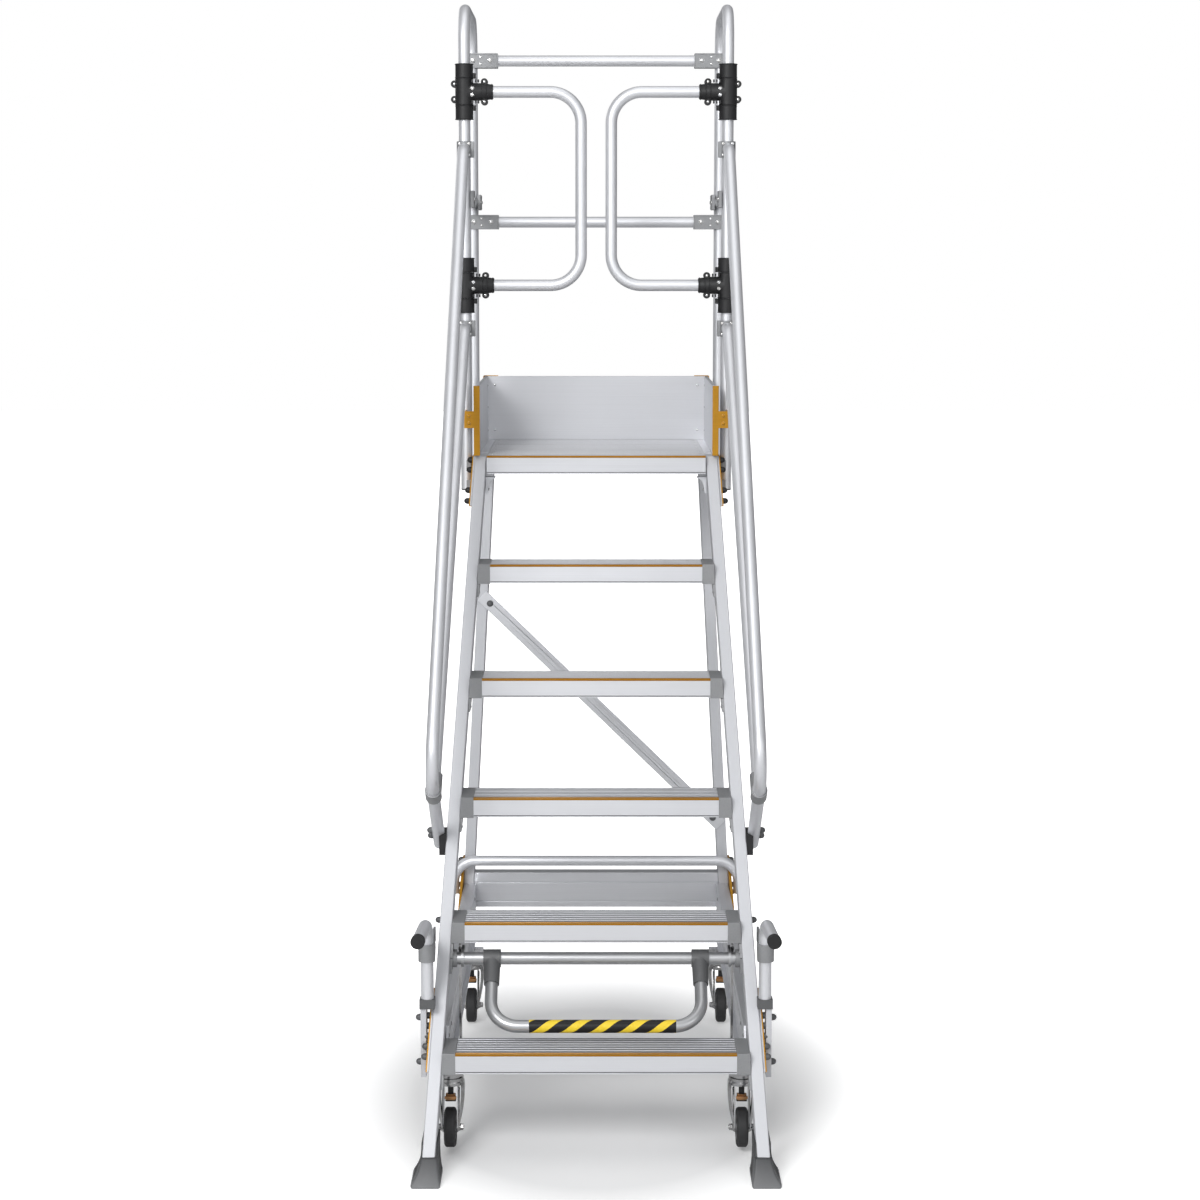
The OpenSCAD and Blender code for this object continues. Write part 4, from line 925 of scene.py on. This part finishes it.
def tread_lips():
    """A dark strip, the painted shade of a groove, and a small rounded lip along the lower edge of every tread's
    front, and the deck's.
    """
    deck = 6
    bright, dark = bmesh.new(), bmesh.new()
    for n in range(1, deck + 1):
        part = NODES["platform_deck" if n == deck else f"step_{n}"]
        corners = [part.matrix_world @ Vector(c) for c in part.bound_box]
        half = max(c.x for c in corners) - 0.0006
        front = NOSE_Y if n == deck else min(c.y for c in corners)
        low = RISE * n - TREAD_H
        for bm, z, h, proud in ((bright, low + 0.0015, 0.0028, 0.0010), (dark, low + 0.0040, 0.0021, 0.0003)):
            m = basis((-half, front - proud, z), (1, 0, 0), (0, 0, 1))
            prism(bm, rounded(2 * proud + 0.0004, h, min(proud, h / 2) * 0.8, 3), m, 2 * half)
    make("tread_lips", bright, MAT_ALONG_X, "base")
    # Painted shade: the dark strip stands for the groove's shadow line
    make("tread_groove_shade", dark, MAT_CAST_DARK, "base")


def rear_foot(side, word):
    """Moulded cap on the rear leg, with three raised lines on each flank."""
    bm = bmesh.new()
    wall = 0.0040
    leg_w, leg_depth = STILE_W / math.cos(SPLAY), 0.0800
    # Outer walls, trimmed at both ends, then the lip that goes down round the leg
    walls = [(z, 2 * (wall - trim), 0.005) for z, trim in ((0.0080, 0.0012), (0.0095, 0.0), (0.0200, 0.0),
                                                          (0.0680, 0.0), (0.0696, 0.0010))]
    lip = [(z, FOOT_FIT, 0.0035) for z in (0.0700, 0.0660)]
    rings = []
    for z, extra, r in walls + lip:
        rings.append([bm.verts.new((side * (stile_x(z) + px), LEG_Y + py, z))
                      for px, py in rounded(leg_w + extra, leg_depth + extra, r, 4)])
    join_rings(bm, rings)
    bm.faces.new(rings[0][::-1])
    bm.faces.new(rings[-1])
    for s in (-1, 1):
        for k in range(3):
            prism(bm, rounded(0.060, 0.0024, 0.0010, 2),
                  basis(side_frame(side, LEG_Y, 0.026 + k * 0.010, s * (STILE_W / 2 + wall)),
                        side_normal(side) * s, (0, 0, 1)), 0.0008)
    make(f"rear_foot_{word}", bm, MAT_FOOT, "base")


for s, name in SIDES:
    hinge_details(s, name)
    rail_fixings(s, name)
    tube_plugs(s, name)
    strap_bolts(s, name)
    beam_plugs(s, name)
    bracket_screws(s, name)
    for where in ("front", "rear"):
        castor_details(s, name, where)
    front_foot(s, name)
    rear_foot(s, name)
    gusset_edges(s, name)
    corner_hooks(s, name)
deck_fixings()
brace_bolts()
tread_lips()
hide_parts("rubber_feet")


# ---------------------------------------------------------------- stage

FLOOR_HALF = 30.0


def floor():
    """White floor that takes the shadows near the stand and glows to pure white further out."""
    bm = bmesh.new()
    bmesh.ops.create_grid(bm, x_segments=1, y_segments=1, size=FLOOR_HALF)
    mesh = bpy.data.meshes.new("floor")
    bm.to_mesh(mesh)
    bm.free()
    o = link_object("floor", mesh)
    w = Web("floor_paint")
    soft = w.noise(0.8, 3.0, 0.5)
    seen = w.tree.nodes.new("ShaderNodeLightPath").outputs["Is Camera Ray"]
    reach = w.tree.nodes.new("ShaderNodeVectorMath")
    reach.operation = "LENGTH"
    around = w.tree.nodes.new("ShaderNodeMapping")
    w.tree.links.new(w.coord, around.inputs["Vector"])
    # The glow starts on an ellipse round the stand and is full at about twice its size
    around.inputs["Location"].default_value = (0.0, 0.20, 0.0)
    around.inputs["Scale"].default_value = (1.50, 1.0, 1.0)
    w.tree.links.new(around.outputs["Vector"], reach.inputs[0])
    fade = w.remap(reach.outputs["Value"], 0.12, 1.30, 0.72, 1.50)
    mesh.materials.append(w.set(Base_Color=w.mix(w.remap(soft, 0.0, 1.0), (0.80, 0.80, 0.80), (0.82, 0.82, 0.82)),
                                Roughness=0.7, Specular_IOR_Level=0.0, Emission_Color=(1.0, 1.0, 1.0),
                                Emission_Strength=w.math("MULTIPLY", seen, fade)))


def area_light(name, place, target, size, power):
    data = bpy.data.lights.new(name, "AREA")
    data.energy = power
    data.size = size
    o = link_object(name, data)
    o.location = place
    o.rotation_euler = (Vector(target) - Vector(place)).to_track_quat("-Z", "Y").to_euler()


floor()
area_light("key", (-2.4, -6.0, 4.6), (0, 0, 1.4), 2.6, 290)
area_light("fill", (3.4, -5.2, 2.6), (0, 0, 1.3), 2.6, 26)
area_light("top", (0.4, -0.8, 6.6), (0, 0, 0), 4.2, 52)
area_light("rim", (-3.4, 3.6, 3.6), (0, 0, 1.6), 2.0, 18)


AHEAD_GLOW, ABOVE_GLOW, BASE_GLOW = 0.95, 0.14, 0.14


def studio_world():
    """White to the camera. As light it is bright in front, softer above, and grey behind and at the sides."""
    world = bpy.data.worlds.new("studio")
    bpy.context.scene.world = world
    world.use_nodes = True
    tree = world.node_tree
    tree.nodes.clear()
    link = tree.links.new

    direction = tree.nodes.new("ShaderNodeTexCoord").outputs["Generated"]
    split = tree.nodes.new("ShaderNodeSeparateXYZ")
    link(direction, split.inputs[0])
    ahead = math_node(tree, "MAXIMUM", math_node(tree, "MULTIPLY", split.outputs[1], -1.0), 0.0)
    above = math_node(tree, "MAXIMUM", split.outputs[2], 0.0)
    glow = math_node(tree, "ADD",
                     math_node(tree, "MULTIPLY", math_node(tree, "POWER", ahead, 2.0), AHEAD_GLOW),
                     math_node(tree, "MULTIPLY", above, ABOVE_GLOW))
    level = math_node(tree, "ADD", glow, BASE_GLOW)
    lit = tree.nodes.new("ShaderNodeBackground")
    link(level, lit.inputs["Strength"])
    lit.inputs["Color"].default_value = (0.97, 0.985, 1.0, 1.0)
    white = tree.nodes.new("ShaderNodeBackground")
    white.inputs["Color"].default_value = (1.0, 1.0, 1.0, 1.0)
    white.inputs["Strength"].default_value = 1.0
    mix = tree.nodes.new("ShaderNodeMixShader")
    link(tree.nodes.new("ShaderNodeLightPath").outputs["Is Camera Ray"], mix.inputs[0])
    link(lit.outputs[0], mix.inputs[1])
    link(white.outputs[0], mix.inputs[2])
    out = tree.nodes.new("ShaderNodeOutputWorld")
    link(mix.outputs[0], out.inputs["Surface"])


studio_world()
bpy.context.scene.view_settings.view_transform = "Standard"

# Camera solved from the photograph, its distance measured from the platform's front edge
CAMERA_DISTANCE, CAMERA_HEIGHT, CAMERA_TILT = 6.945, 2.239, 7.8
camera_data = bpy.data.cameras.new("camera")
camera_data.lens = 75.0
camera_data.sensor_width = 36.0
camera_data.shift_x = 0.0032
camera = link_object("camera", camera_data)
camera.location = (0.0, -CAMERA_DISTANCE + NOSE_Y, CAMERA_HEIGHT)
camera.rotation_euler = (math.radians(90 - CAMERA_TILT), 0.0, 0.0)
bpy.context.scene.camera = camera
